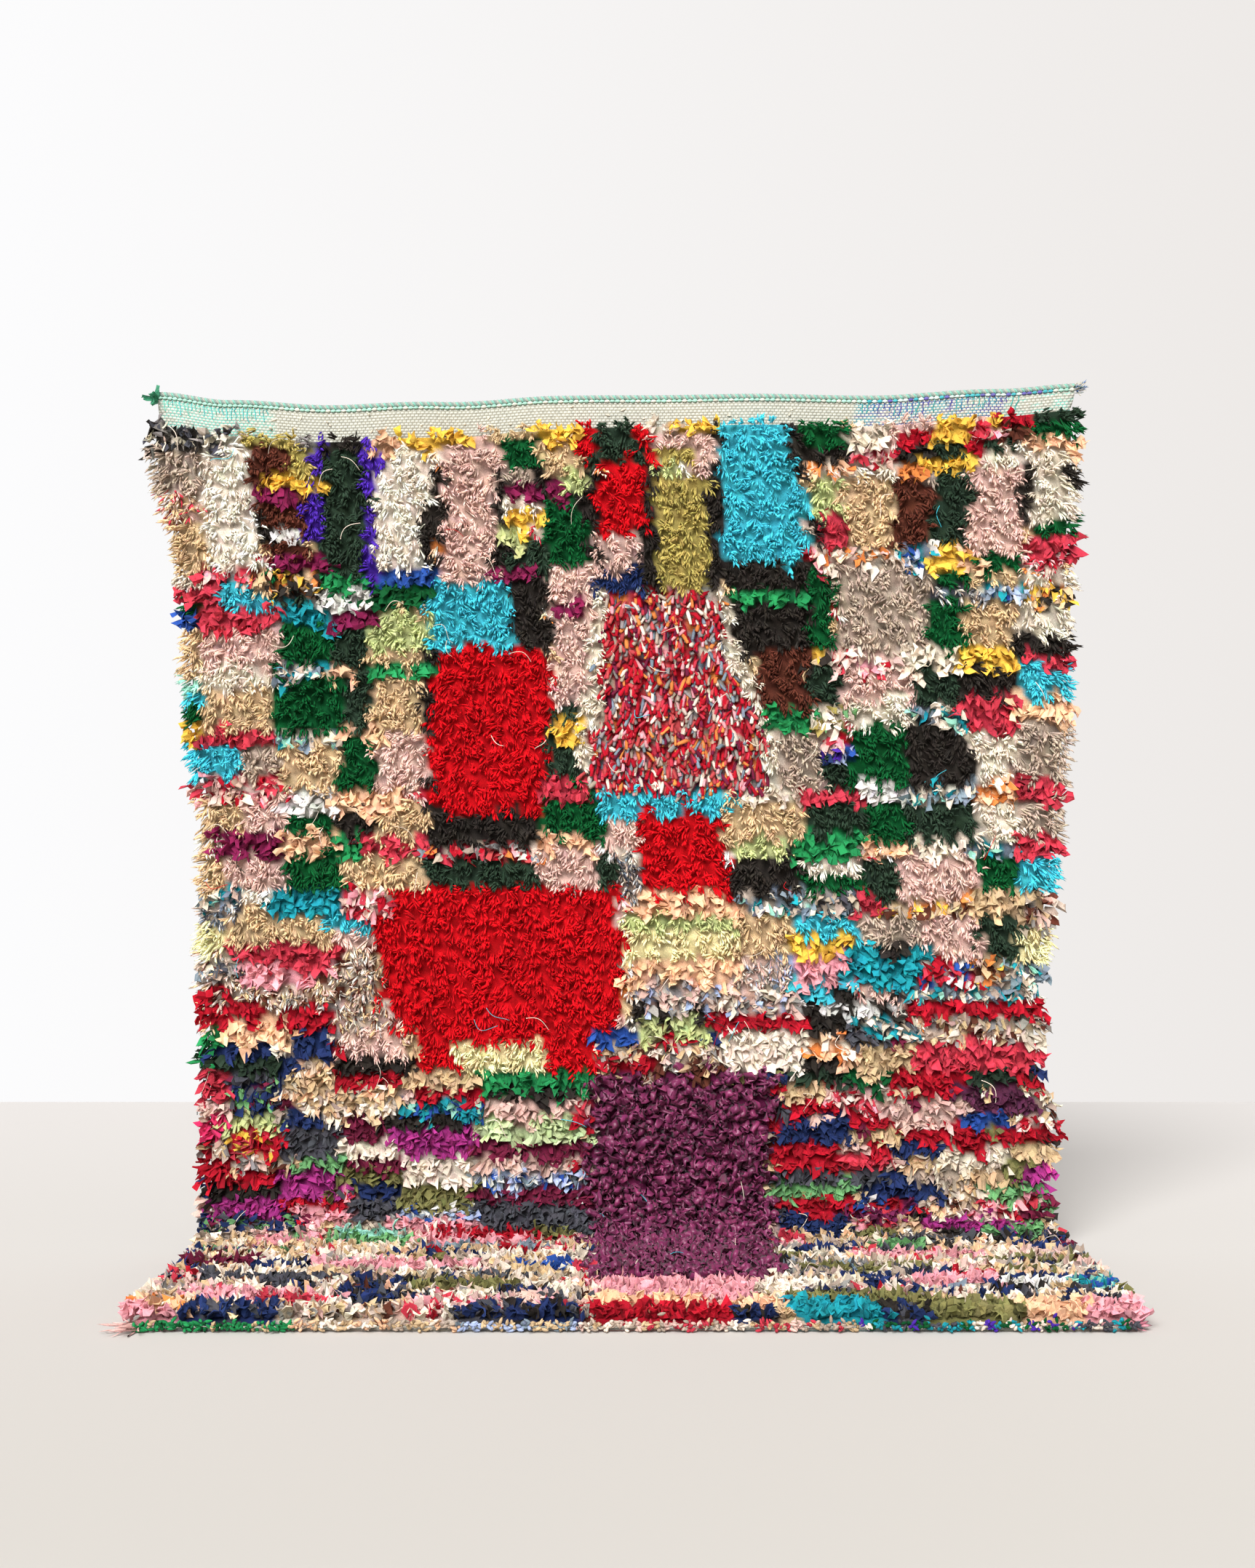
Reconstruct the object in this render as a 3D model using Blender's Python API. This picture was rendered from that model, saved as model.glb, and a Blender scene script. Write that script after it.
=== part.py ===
"""A hand-knotted rag rug that hangs by its top edge, with its lower end lying forward on the floor.

Metres, +Z up. The origin is the middle of the top edge. X runs across the rug, the pile faces -Y
on the hanging stretch and +Z on the floor, and the floor is FLOOR_DROP below the origin.

Places on the rug are given by `across`, from 0 at the left edge to 1 at the right, and by `along`,
the distance from the top edge measured on the cloth. A height stands up from the middle of the
woven ground, towards the pile.
"""
import math
import random
from collections import namedtuple

import bmesh
import bpy
from mathutils import Matrix, Vector, noise

# Driving sizes
FLOOR_DROP = 1.290
BEND_RADIUS = 0.090
APRON_REACH = 0.520
WEAVE = 0.003
GAP = 0.0003

# The pile: the matted body and the locks that stand out round it
PILE_BODY = 0.031
PILE_RIDGE = 0.0035
PILE_LUMP = 0.0110
LUMP_SIZE = 0.085
PILE_END_MARGIN = 0.014
SELVEDGE_SHOWS = 0.004
RIM_OUT = 0.006
RIM_LOW = 0.006
RIM_HIGH = 0.021
LOCK_REACH = 0.024
LOCK_SPREAD = 0.006
LOCK_DROOP = 0.016
LOCK_LIFT = 0.008
LOCK_LIFT_LENGTH = 0.060
LOCK_FLOOR_CLEAR = 0.0015
# Shares of a lock's reach, droop and lift that one lock can have
LOCK_REACH_SHARES = (0.6, 1.0)
LOCK_DROOP_SHARES = (0.5, 1.0)
LOCK_LIFT_SHARES = (0.8, 1.8)

# The cords that finish the ends
END_CORD_RADIUS = 0.0048
END_CORD_STEP = 0.0135
END_CORD_SIDES = 5
BINDING_RADIUS = 0.0050
BINDING_STEP = 0.0150
BEAD_SWELL = 0.22
TAIL_WIDTH = 0.013
TAIL_RINGS = 5
TAIL_TAPER = 0.75
TAIL_FLATNESS = 0.35

# The rag knots: how deep the crease round the middle is and how far the rag's points are pulled
CREASE_DEPTH = 0.18
CREASE_WIDTH = 0.25
PULL = 0.45
PULL_SIZE = 2.3

# The two knots at the top corners, measured from the corners of the ground
Knot = namedtuple("Knot", "name across offset size stretch")
KNOTS = [
    Knot("corner_knot", 0.0, (-0.014, 0.0, 0.010), 0.0115, (1.0, 0.8, 1.3)),
    Knot("corner_fray", 1.0, (0.012, 0.0, 0.004), 0.0090, (1.0, 0.7, 1.6)),
]

# The two tails on the floor: where each starts from its hem corner and how far each ring goes on
Tail = namedtuple("Tail", "name across start step")
TAILS = [
    Tail("tail_left", 0.0, (-0.004, -0.005), (-0.011, -0.006)),
    Tail("tail_right", 1.0, (0.004, -0.004), (0.010, 0.003)),
]

# How finely the ground is divided; the pile's front has SPLIT times as many rows and columns
COLUMNS = 15
SPLIT = 3
LOCKS_PER_COLUMN = 3
# The step, across or along, by which the edge's direction is measured
EDGE_STEP = 0.002

HANG_LENGTH = FLOOR_DROP - WEAVE / 2 - BEND_RADIUS
BEND_LENGTH = BEND_RADIUS * math.pi / 2
APRON_LENGTH = APRON_REACH - BEND_RADIUS
RUG_LENGTH = HANG_LENGTH + BEND_LENGTH + APRON_LENGTH

# The two side edges of the woven ground, at distances from the top edge
Side = namedtuple("Side", "along left right")
SIDES = [
    Side(0.00, -0.720, 0.682),
    Side(0.06, -0.706, 0.664),
    Side(0.24, -0.682, 0.661),
    Side(0.47, -0.657, 0.650),
    Side(0.65, -0.640, 0.645),
    Side(0.79, -0.646, 0.630),
    Side(0.90, -0.644, 0.616),
    Side(1.01, -0.638, 0.620),
    Side(1.11, -0.634, 0.646),
    Side(1.25, -0.638, 0.642),
    Side(1.36, -0.646, 0.656),
    Side(RUG_LENGTH, -0.660, 0.658),
]

# How the top edge dips and rises between the places where it is held, and the woven band's height
TopEdge = namedtuple("TopEdge", "across rise band")
TOP_EDGE = [
    TopEdge(0.00, 0.007, 0.043),
    TopEdge(0.08, -0.008, 0.045),
    TopEdge(0.19, -0.016, 0.046),
    TopEdge(0.31, -0.010, 0.044),
    TopEdge(0.43, 0.000, 0.040),
    TopEdge(0.60, 0.000, 0.036),
    TopEdge(0.78, 0.001, 0.036),
    TopEdge(0.92, 0.011, 0.032),
    TopEdge(1.00, 0.017, 0.030),
]
TOP_FADE = 0.55

# The rug's stretches from the pile's top to its end, and the rows of the ground in each
Stretch = namedtuple("Stretch", "name end rows")
STRETCHES = [
    Stretch("hanging", HANG_LENGTH, 13),
    Stretch("bend", HANG_LENGTH + BEND_LENGTH, 4),
    Stretch("apron", RUG_LENGTH - PILE_END_MARGIN, 5),
]
PILE_TOP = 0.038

# The soft upright folds of the hanging stretch; none moves the middle of the top edge
Fold = namedtuple("Fold", "depth width start lean")
FOLDS = [
    Fold(0.009, 0.62, 0.0, 0.5),
    Fold(0.004, 0.27, math.pi, -1.3),
]

Finish = namedtuple("Finish", "name colour roughness")
FINISHES = {
    "ground_weave": Finish("cream wool ground", (0.72, 0.66, 0.55, 1.0), 0.95),
    "shag_pile": Finish("knotted rag pile", (0.48, 0.20, 0.17, 1.0), 0.95),
    "end_cord": Finish("twined green cotton", (0.30, 0.52, 0.44, 1.0), 0.90),
    "hem_binding": Finish("overcast cream cotton", (0.66, 0.62, 0.54, 1.0), 0.90),
    "corner_knot": Finish("green knotted rag", (0.10, 0.42, 0.27, 1.0), 0.90),
    "corner_fray": Finish("blue frayed yarn", (0.22, 0.30, 0.55, 1.0), 0.90),
    "tail_left": Finish("pink cotton tail", (0.78, 0.52, 0.52, 1.0), 0.90),
    "tail_right": Finish("rose cotton tail", (0.70, 0.30, 0.38, 1.0), 0.90),
}


def ease(t):
    """Slow at both ends of 0 to 1."""
    t = min(max(t, 0.0), 1.0)
    return t * t * (3.0 - 2.0 * t)


def read_table(table, key, column, at):
    """One column of a table at a place between its rows."""
    if at <= getattr(table[0], key):
        return getattr(table[0], column)
    for low, high in zip(table, table[1:]):
        end = getattr(high, key)
        if at <= end:
            start = getattr(low, key)
            share = ease((at - start) / (end - start))
            first = getattr(low, column)
            return first + (getattr(high, column) - first) * share
    return getattr(table[-1], column)


def path_point(along):
    """The ground's middle in the upright plane: how far forward, how high, and the pile's way."""
    if along <= HANG_LENGTH:
        return 0.0, -along, Vector((0.0, -1.0, 0.0))
    turn = min((along - HANG_LENGTH) / BEND_RADIUS, math.pi / 2)
    facing = Vector((0.0, -math.cos(turn), math.sin(turn)))
    forward = BEND_RADIUS * (1.0 - math.cos(turn))
    height = -HANG_LENGTH - BEND_RADIUS * math.sin(turn)
    if along > HANG_LENGTH + BEND_LENGTH:
        forward += along - HANG_LENGTH - BEND_LENGTH
    return forward, height, facing


def fold_depth(x, along):
    """How far the soft folds stand forward."""
    fade = 1.0 - ease(along / HANG_LENGTH)
    depth = 0.0
    for fold in FOLDS:
        depth += fold.depth * math.sin(2 * math.pi * x / fold.width + fold.start + fold.lean * along)
    return depth * fade


def ground_point(across, along):
    """A point on the ground's middle, and the way the pile faces there."""
    left = read_table(SIDES, "along", "left", along)
    right = read_table(SIDES, "along", "right", along)
    x = left + (right - left) * across
    forward, height, facing = path_point(along)
    rise = read_table(TOP_EDGE, "across", "rise", across) * (1.0 - ease(along / TOP_FADE))
    return Vector((x, -forward - fold_depth(x, along), height + rise)), facing


def place(across, along, high):
    """A point at a height above the ground's middle."""
    point, facing = ground_point(across, along)
    return point + facing * high


def row_along(row_at, across):
    """A row's distance from the top edge; the upper rows follow the slope of the woven band."""
    band = read_table(TOP_EDGE, "across", "band", across)
    return row_at + (band - PILE_TOP) * (1.0 - ease((row_at - PILE_TOP) / TOP_FADE))


def row_places(split):
    """The rows from the pile's top to its end, with every stretch divided evenly."""
    places = [PILE_TOP]
    start = PILE_TOP
    for stretch in STRETCHES:
        count = stretch.rows * split
        step = (stretch.end - start) / count
        places += [start + step * (i + 1) for i in range(count)]
        start = stretch.end
    return places


def column_places(split, margin):
    """Even columns between two margins, as shares of the width."""
    count = COLUMNS * split
    return [margin + (1.0 - 2.0 * margin) * i / count for i in range(count + 1)]


def edge_loop(rows, columns):
    """The row and column of each grid point round the edge, once round from the first corner."""
    loop = [(0, c) for c in range(columns)]
    loop += [(r, columns) for r in range(rows)]
    loop += [(rows, c) for c in range(columns, 0, -1)]
    loop += [(r, 0) for r in range(rows, 0, -1)]
    return loop


def grid(bm, points):
    """Joined four-sided faces over rows of points."""
    verts = [[bm.verts.new(p) for p in row] for row in points]
    for upper, lower in zip(verts, verts[1:]):
        for i in range(len(upper) - 1):
            bm.faces.new((upper[i], upper[i + 1], lower[i + 1], lower[i]))
    return verts


def stitch(bm, wide, close, ratio):
    """Triangles between a loop of points and one with `ratio` times as many."""
    for i, first in enumerate(wide):
        second = wide[(i + 1) % len(wide)]
        run = [close[(i * ratio + k) % len(close)] for k in range(ratio + 1)]
        for k in range(ratio):
            anchor = first if k < (ratio + 1) // 2 else second
            bm.faces.new((anchor, run[k], run[k + 1]))
        bm.faces.new((first, run[(ratio + 1) // 2], second))


def material(finish):
    """One plain material for a node."""
    made = bpy.data.materials.new(finish.name)
    made.use_nodes = True
    shader = made.node_tree.nodes["Principled BSDF"]
    shader.inputs["Base Color"].default_value = finish.colour
    shader.inputs["Roughness"].default_value = finish.roughness
    shader.inputs["Metallic"].default_value = 0.0
    return made


def finish_node(name, bm, collection):
    """Close a mesh as a named node with its own material."""
    bmesh.ops.triangulate(bm, faces=bm.faces, quad_method="FIXED")
    bmesh.ops.recalc_face_normals(bm, faces=bm.faces)
    mesh = bpy.data.meshes.new(name)
    bm.to_mesh(mesh)
    bm.free()
    mesh.materials.append(material(FINISHES[name]))
    node = bpy.data.objects.new(name, mesh)
    collection.objects.link(node)
    return node


def pile_columns(split):
    """The pile's columns, which stop just inside the selvedges."""
    return column_places(split, SELVEDGE_SHOWS)


def ground_columns():
    """The woven ground's columns, selvedge to selvedge."""
    return [0.0] + pile_columns(1) + [1.0]


def ground_weave(collection):
    """The woven ground in one piece, from the plain band at the top to the hem on the floor."""
    columns = ground_columns()
    rows = [0.0, PILE_TOP / 2] + row_places(1) + [RUG_LENGTH]

    def layer(high):
        points = []
        for row in rows:
            share = row / PILE_TOP
            line = []
            for across in columns:
                along = row_along(PILE_TOP, across) * share if row < PILE_TOP else row_along(row, across)
                line.append(place(across, along, high))
            points.append(line)
        return points

    bm = bmesh.new()
    back = grid(bm, layer(-WEAVE / 2))
    front = grid(bm, layer(WEAVE / 2))
    loop = edge_loop(len(rows) - 1, len(columns) - 1)
    for (r0, c0), (r1, c1) in zip(loop, loop[1:] + loop[:1]):
        bm.faces.new((back[r0][c0], back[r1][c1], front[r1][c1], front[r0][c0]))
    return finish_node("ground_weave", bm, collection)


def pile_height(across, along, row):
    """The matted pile's front above the ground: ridges of knots, with lumps."""
    point, _ = ground_point(across, along)
    lump = noise.noise(Vector((point.x, along, 0.0)) / LUMP_SIZE)
    in_bend = HANG_LENGTH < along < HANG_LENGTH + BEND_LENGTH
    ridge = 0.0 if in_bend else PILE_RIDGE if row % 2 else -PILE_RIDGE
    return PILE_BODY + ridge + PILE_LUMP * lump


def pile_row(row, row_at, columns):
    """One row of points on the pile's front."""
    points = []
    for across in columns:
        along = row_along(row_at, across)
        points.append(place(across, along, pile_height(across, along, row)))
    return points


def outward(across, along, at_end):
    """Which way the rim faces at an edge point: across the rug, along it, or both at a corner."""
    point, _ = ground_point(across, along)
    before = ground_point(max(across - EDGE_STEP, 0.0), along)[0]
    beyond = ground_point(min(across + EDGE_STEP, 1.0), along)[0]
    right = beyond - before
    down = ground_point(across, along + EDGE_STEP)[0] - ground_point(across, along - EDGE_STEP)[0]
    way = Vector()
    if across == 0.0:
        way -= right.normalized()
    if across == 1.0:
        way += right.normalized()
    if at_end == "top":
        way -= down.normalized()
    if at_end == "bottom":
        way += down.normalized()
    return point, way.normalized()


def shag_pile(collection):
    """The knotted pile as a lumpy slab with a lock on each piece of its rim."""
    rng = random.Random(11)
    rows, columns = row_places(1), pile_columns(1)
    fine_rows, fine_columns = row_places(SPLIT), pile_columns(SPLIT)
    bm = bmesh.new()

    back_height = WEAVE / 2 + GAP
    back = grid(bm, [[place(a, row_along(r, a), back_height) for a in columns] for r in rows])
    front = grid(bm, [pile_row(i, row, fine_columns) for i, row in enumerate(fine_rows)])

    back_loop = [back[r][c] for r, c in edge_loop(len(rows) - 1, len(columns) - 1)]
    front_places = edge_loop(len(fine_rows) - 1, len(fine_columns) - 1)
    front_loop = [front[r][c] for r, c in front_places]

    rim = rim_places(front_places, fine_rows, fine_columns, LOCKS_PER_COLUMN // SPLIT)
    low_loop, high_loop = [], []
    for across, along, at_end in rim:
        point, out = outward(across, along, at_end)
        _, facing = ground_point(across, along)
        low_loop.append(bm.verts.new(point + out * RIM_OUT + facing * RIM_LOW))
        high_loop.append(bm.verts.new(point + out * RIM_OUT + facing * RIM_HIGH))
    stitch(bm, back_loop, low_loop, LOCKS_PER_COLUMN)
    stitch(bm, front_loop, high_loop, LOCKS_PER_COLUMN // SPLIT)
    for i, here in enumerate(rim):
        after = (i + 1) % len(rim)
        base = (low_loop[i], low_loop[after], high_loop[after], high_loop[i])
        lock(bm, base, here, rim[after], rng)
    return finish_node("shag_pile", bm, collection)


def rim_places(front_places, rows, columns, ratio):
    """Where the rim's points lie: `ratio` of them for each edge point of the pile's front."""
    last_row, last_column = len(rows) - 1, len(columns) - 1
    places = []
    for (r0, c0), (r1, c1) in zip(front_places, front_places[1:] + front_places[:1]):
        for k in range(ratio):
            share = k / ratio
            across = columns[c0] + (columns[c1] - columns[c0]) * share
            row = rows[r0] + (rows[r1] - rows[r0]) * share
            at_end = "side"
            if r0 == 0 and (r1 == 0 or k == 0):
                at_end = "top"
            if r0 == last_row and (r1 == last_row or k == 0):
                at_end = "bottom"
            clamped = 0.0 if across <= columns[0] else 1.0 if across >= columns[last_column] else across
            places.append((clamped, row_along(row, across), at_end))
    return places


def lock(bm, base, here, after, rng):
    """A four-sided lock on one piece of the rim: it droops at the sides and stands over the hem."""
    centre = sum((v.co for v in base), Vector()) / len(base)
    _, out_here = outward(*here)
    _, out_after = outward(*after)
    out = (out_here + out_after).normalized()
    sideways = (base[1].co - base[0].co).normalized()
    reach = LOCK_REACH * rng.uniform(*LOCK_REACH_SHARES)
    tip = centre + out * reach + sideways * rng.uniform(-LOCK_SPREAD, LOCK_SPREAD)
    if here[1] > RUG_LENGTH - LOCK_LIFT_LENGTH:
        tip.z += LOCK_LIFT * rng.uniform(*LOCK_LIFT_SHARES)
    elif here[2] == "side":
        tip.z -= LOCK_DROOP * rng.uniform(*LOCK_DROOP_SHARES)
    tip.z = max(tip.z, -FLOOR_DROP + LOCK_FLOOR_CLEAR)
    top = bm.verts.new(tip)
    for i, vert in enumerate(base):
        bm.faces.new((vert, base[(i + 1) % len(base)], top))


def beaded_cord(name, route, radius, sides, collection):
    """A thin twined cord: rings along a route, swelling at each twist and turning half a side."""
    bm = bmesh.new()
    rings = []
    for i, point in enumerate(route):
        before, following = route[max(i - 1, 0)], route[min(i + 1, len(route) - 1)]
        frame = (following - before).to_track_quat("Z", "Y").to_matrix().to_4x4()
        swell = radius * (1.0 + BEAD_SWELL if i % 2 else 1.0 - BEAD_SWELL)
        turn = math.pi / sides * (i % 2)
        ring = []
        for k in range(sides):
            angle = 2 * math.pi * k / sides + turn
            offset = frame @ Vector((math.cos(angle) * swell, math.sin(angle) * swell, 0.0))
            ring.append(bm.verts.new(point + offset))
        rings.append(ring)
    for ring, following in zip(rings, rings[1:]):
        for k in range(sides):
            bm.faces.new((ring[k], ring[(k + 1) % sides], following[(k + 1) % sides], following[k]))
    bm.faces.new(rings[0])
    bm.faces.new(rings[-1])
    return finish_node(name, bm, collection)


def edge_route(along, step, lift):
    """Points beside one end of the ground, on its straight lines from column to column, moved by `lift`."""
    corners = [ground_point(across, along)[0] for across in ground_columns()]
    route = []
    for start, end in zip(corners, corners[1:]):
        count = max(1, round((end - start).length / step))
        route += [start.lerp(end, i / count) + lift for i in range(count)]
    return route + [corners[-1] + lift]


def end_cord(collection):
    """The twined cord along the top edge."""
    clear = END_CORD_RADIUS * (1.0 + BEAD_SWELL) + GAP * 2
    route = edge_route(0.0, END_CORD_STEP, Vector((0.0, 0.0, clear)))
    return beaded_cord("end_cord", route, END_CORD_RADIUS, END_CORD_SIDES, collection)


def hem_binding(collection):
    """The overcast edge in front of the hem, lying on the floor."""
    clear = BINDING_RADIUS * (1.0 + BEAD_SWELL)
    route = edge_route(RUG_LENGTH, BINDING_STEP, Vector((0.0, -clear - GAP * 2, clear - WEAVE / 2)))
    return beaded_cord("hem_binding", route, BINDING_RADIUS, END_CORD_SIDES, collection)


def rag_lump(knot, collection):
    """A knotted rag: a small ball with pulled points and a crease round it."""
    middle = ground_point(knot.across, 0.0)[0] + Vector(knot.offset)
    bm = bmesh.new()
    bmesh.ops.create_icosphere(bm, subdivisions=2, radius=knot.size)
    for vert in bm.verts:
        way = vert.co.normalized()
        crease = 1.0 - CREASE_DEPTH * math.exp(-(way.z / CREASE_WIDTH) ** 2)
        pulled = 1.0 + PULL * noise.noise(way * PULL_SIZE + middle)
        vert.co *= crease * pulled
    bmesh.ops.transform(bm, matrix=Matrix.Diagonal((*knot.stretch, 1.0)), verts=bm.verts)
    bmesh.ops.translate(bm, vec=middle, verts=bm.verts)
    return finish_node(knot.name, bm, collection)


def tail_route(end):
    """The points on the floor under a tail, from its hem corner outwards."""
    corner = ground_point(end.across, RUG_LENGTH)[0]
    start = corner + Vector((*end.start, -WEAVE / 2))
    return [start + Vector((*end.step, 0.0)) * i for i in range(TAIL_RINGS)]


def tail(name, route, width, collection):
    """A flat four-sided rag end that tapers along a route, which is its underside."""
    bm = bmesh.new()
    rings = []
    for i, point in enumerate(route):
        half = width / 2 * (1.0 - TAIL_TAPER * i / (len(route) - 1))
        thick = half * TAIL_FLATNESS
        ahead = route[min(i + 1, len(route) - 1)] - route[max(i - 1, 0)]
        side = ahead.cross(Vector((0.0, 0.0, 1.0))).normalized()
        up = side.cross(ahead).normalized()
        middle = point + up * thick
        corners = [side * half, up * thick, -side * half, -up * thick]
        rings.append([bm.verts.new(middle + corner) for corner in corners])
    for ring, following in zip(rings, rings[1:]):
        for k in range(4):
            bm.faces.new((ring[k], ring[(k + 1) % 4], following[(k + 1) % 4], following[k]))
    bm.faces.new(rings[0])
    bm.faces.new(rings[-1])
    return finish_node(name, bm, collection)


def corner_pieces(collection):
    """The rag knot and fray at the top corners, and the tails at the two corners on the floor."""
    for knot in KNOTS:
        rag_lump(knot, collection)
    for end in TAILS:
        tail(end.name, tail_route(end), TAIL_WIDTH, collection)


def clear_scene():
    """Take away whatever the file starts with."""
    for thing in list(bpy.data.objects):
        bpy.data.objects.remove(thing, do_unlink=True)


def main():
    clear_scene()
    collection = bpy.data.collections.new("boucherouite_rug")
    bpy.context.scene.collection.children.link(collection)
    ground_weave(collection)
    shag_pile(collection)
    end_cord(collection)
    hem_binding(collection)
    corner_pieces(collection)


main()
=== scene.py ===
"""The looks of a hand-knotted rag rug that hangs by its top edge, its lower end forward on the floor.

Metres, +Z up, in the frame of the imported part. The origin is the middle of the top edge, the pile
faces -Y on the hanging stretch and +Z on the floor. `along` is the distance from the top edge,
measured on the cloth. The chart of the blocks is in centimetres, as a weaver would note it.
"""

import logging
import math
from dataclasses import dataclass, field
from enum import Enum
from typing import NamedTuple, Sequence

import bpy
import numpy as np
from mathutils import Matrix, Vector
from mathutils.kdtree import KDTree


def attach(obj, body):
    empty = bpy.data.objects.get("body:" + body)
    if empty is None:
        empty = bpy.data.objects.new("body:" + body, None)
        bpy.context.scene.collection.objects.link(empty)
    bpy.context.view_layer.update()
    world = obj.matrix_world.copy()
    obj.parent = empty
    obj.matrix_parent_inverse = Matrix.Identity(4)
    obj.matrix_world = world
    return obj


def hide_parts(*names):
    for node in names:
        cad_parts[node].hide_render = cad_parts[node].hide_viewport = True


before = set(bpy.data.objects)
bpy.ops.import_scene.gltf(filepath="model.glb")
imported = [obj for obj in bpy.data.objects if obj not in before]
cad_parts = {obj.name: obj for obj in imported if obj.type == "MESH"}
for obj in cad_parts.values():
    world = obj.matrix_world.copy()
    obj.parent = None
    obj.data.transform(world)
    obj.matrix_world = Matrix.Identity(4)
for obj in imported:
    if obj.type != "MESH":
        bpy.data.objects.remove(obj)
LOG = logging.getLogger("rug")
BODY = "root"
BAKE_MAP = "OFBake"
CLOTH_MAP = "Cloth"
# The colour attribute holds each vertex's dye with the painted shade of strand roots and body hollows multiplied in
DYE_AND_SHADE = "DyeAndShade"
SEED = 20
MM = 0.001
CM = 0.01
TRIANGLES_A_PIECE = 190_000
# How much one strand differs from the next in lightness and in tint, and how far a colour may go
DYE_SPREAD, TINT_SPREAD = 0.08, 0.03
DARKEST, LIGHTEST = 0.004, 0.95
# What share of its bake cell an island fills, and where it starts
CELL_FILL, CELL_MARGIN = 0.9, 0.05
# How far to the right the front face lies in the cloth map, in metres
FRONT_SHIFT = 3.0
RIGHT = np.array([1.0, 0.0, 0.0])

Array = np.ndarray
Rng = np.random.Generator
Piece = bpy.types.Object
Material = bpy.types.Material
Tree = bpy.types.NodeTree
Socket = bpy.types.NodeSocket
Point = tuple[float, float, float]
Span = tuple[float, float]


class Cut(Enum):
    """The ways in which the yarns and rags of the pile are cut."""

    WOOL = "wool"
    RAG = "rag"
    STRIP = "strip"
    STUB = "stub"
    CURL = "curl"


class Side(NamedTuple):
    """The two side edges of the ground at a distance from the top edge."""

    along: float
    left: float
    right: float


class TopEdge(NamedTuple):
    """How far the top edge rises at a share of the width, and how high its woven band is."""

    across: float
    rise: float
    band: float


class Fold(NamedTuple):
    """One soft upright fold of the hanging stretch."""

    depth: float
    width: float
    start: float
    lean: float


class Block(NamedTuple):
    """One block or stripe of the chart: its yarn and its edges in centimetres."""

    yarn: str
    left: float
    right: float
    top: float
    bottom: float


class Tuft(NamedTuple):
    """How the strands of one knot are cut and how they lie.

    Lengths are in mm: `spread` is how far the roots scatter and `apart` how far its two locks stand
    apart, across and along. `out` and `fall` say how far it stands out and hangs down, `lean` and
    `scatter` how much its locks and strands differ in that, `slant` how far a cut end slants. `tone`
    and `root_shade` are the lightness of its tips, and of its roots as a share of that.
    """

    strands: int
    length: Span
    half_width: Span
    section: tuple[Span, ...]
    rings: tuple[Span, ...]
    pointed: bool
    spread: float
    out: float
    fall: float
    scatter: float
    crumple: float
    twist: float
    slant: float
    lean: float
    apart: Span
    tone: float
    root_shade: float = 0.5


class LooseEnds(NamedTuple):
    """One bunch of loose ends at a corner: its place, its way, how many and how long in mm, its dyes."""

    name: str
    slot: str
    node: str
    cut: Cut
    across: float
    at_hem: bool
    offset: Point
    way: Point
    count: int
    length: Span
    half_width: Span
    colours: tuple[str, ...]


# Cross-sections of a strand in half widths: combed wool, spun yarn, a creased rag, a rolled strip
THREE_SIDES = ((0.0, 1.0), (-0.87, -0.5), (0.87, -0.5))
FOUR_SIDES = ((1.0, 0.0), (0.0, 0.85), (-1.0, 0.0), (0.0, -0.85))
CREASED = ((-1.0, 0.42), (-0.1, -0.24), (1.0, 0.34), (0.05, 0.02))
ROLLED = ((-1.0, 0.75), (0.0, -0.42), (1.0, 0.75), (0.0, 0.02))

TUFTS = {
    Cut.WOOL: Tuft(
        strands=12, length=(19, 28), half_width=(1.0, 2.2), section=THREE_SIDES,
        rings=((0.0, 0.9), (0.74, 1.0)), pointed=True, spread=4.2, out=0.85, fall=0.80, scatter=0.44,
        crumple=2.4, twist=1.5, slant=0.0, lean=0.40, apart=(5.0, 10.5), tone=1.17, root_shade=0.70,
    ),
    Cut.RAG: Tuft(
        strands=3, length=(18, 27), half_width=(5.2, 9.0), section=CREASED,
        rings=((0.0, 0.8), (0.35, 0.95), (0.7, 1.0), (1.0, 0.95)), pointed=False, spread=6.0, out=0.8, fall=0.80,
        scatter=0.50, crumple=4.4, twist=2.2, slant=1.0, lean=0.30, apart=(5.0, 3.0), tone=0.97,
    ),
    Cut.STRIP: Tuft(
        strands=4, length=(17, 26), half_width=(4.0, 7.6), section=CREASED,
        rings=((0.0, 0.8), (0.5, 1.0), (1.0, 0.95)), pointed=False, spread=6.0, out=0.8, fall=0.60,
        scatter=0.60, crumple=4.0, twist=2.4, slant=1.0, lean=0.30, apart=(5.0, 3.0), tone=0.89,
    ),
    Cut.STUB: Tuft(
        strands=6, length=(22, 29), half_width=(2.8, 3.8), section=FOUR_SIDES,
        rings=((0.0, 0.8), (0.5, 1.0), (0.95, 0.95), (1.0, 0.6)), pointed=False, spread=7.5, out=0.50, fall=1.70,
        scatter=0.75, crumple=0.8, twist=0.8, slant=0.0, lean=0.30, apart=(4.0, 8.0), tone=0.93,
    ),
    Cut.CURL: Tuft(
        strands=4, length=(24, 34), half_width=(5.2, 8.0), section=ROLLED,
        rings=((0.0, 0.5), (0.3, 0.9), (0.6, 1.0), (0.85, 1.0), (1.0, 0.8)), pointed=False, spread=6.0, out=1.0,
        fall=0.30, scatter=1.0, crumple=4.2, twist=4.0, slant=0.6, lean=0.3, apart=(4.0, 6.0), tone=1.0,
    ),
}

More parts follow.
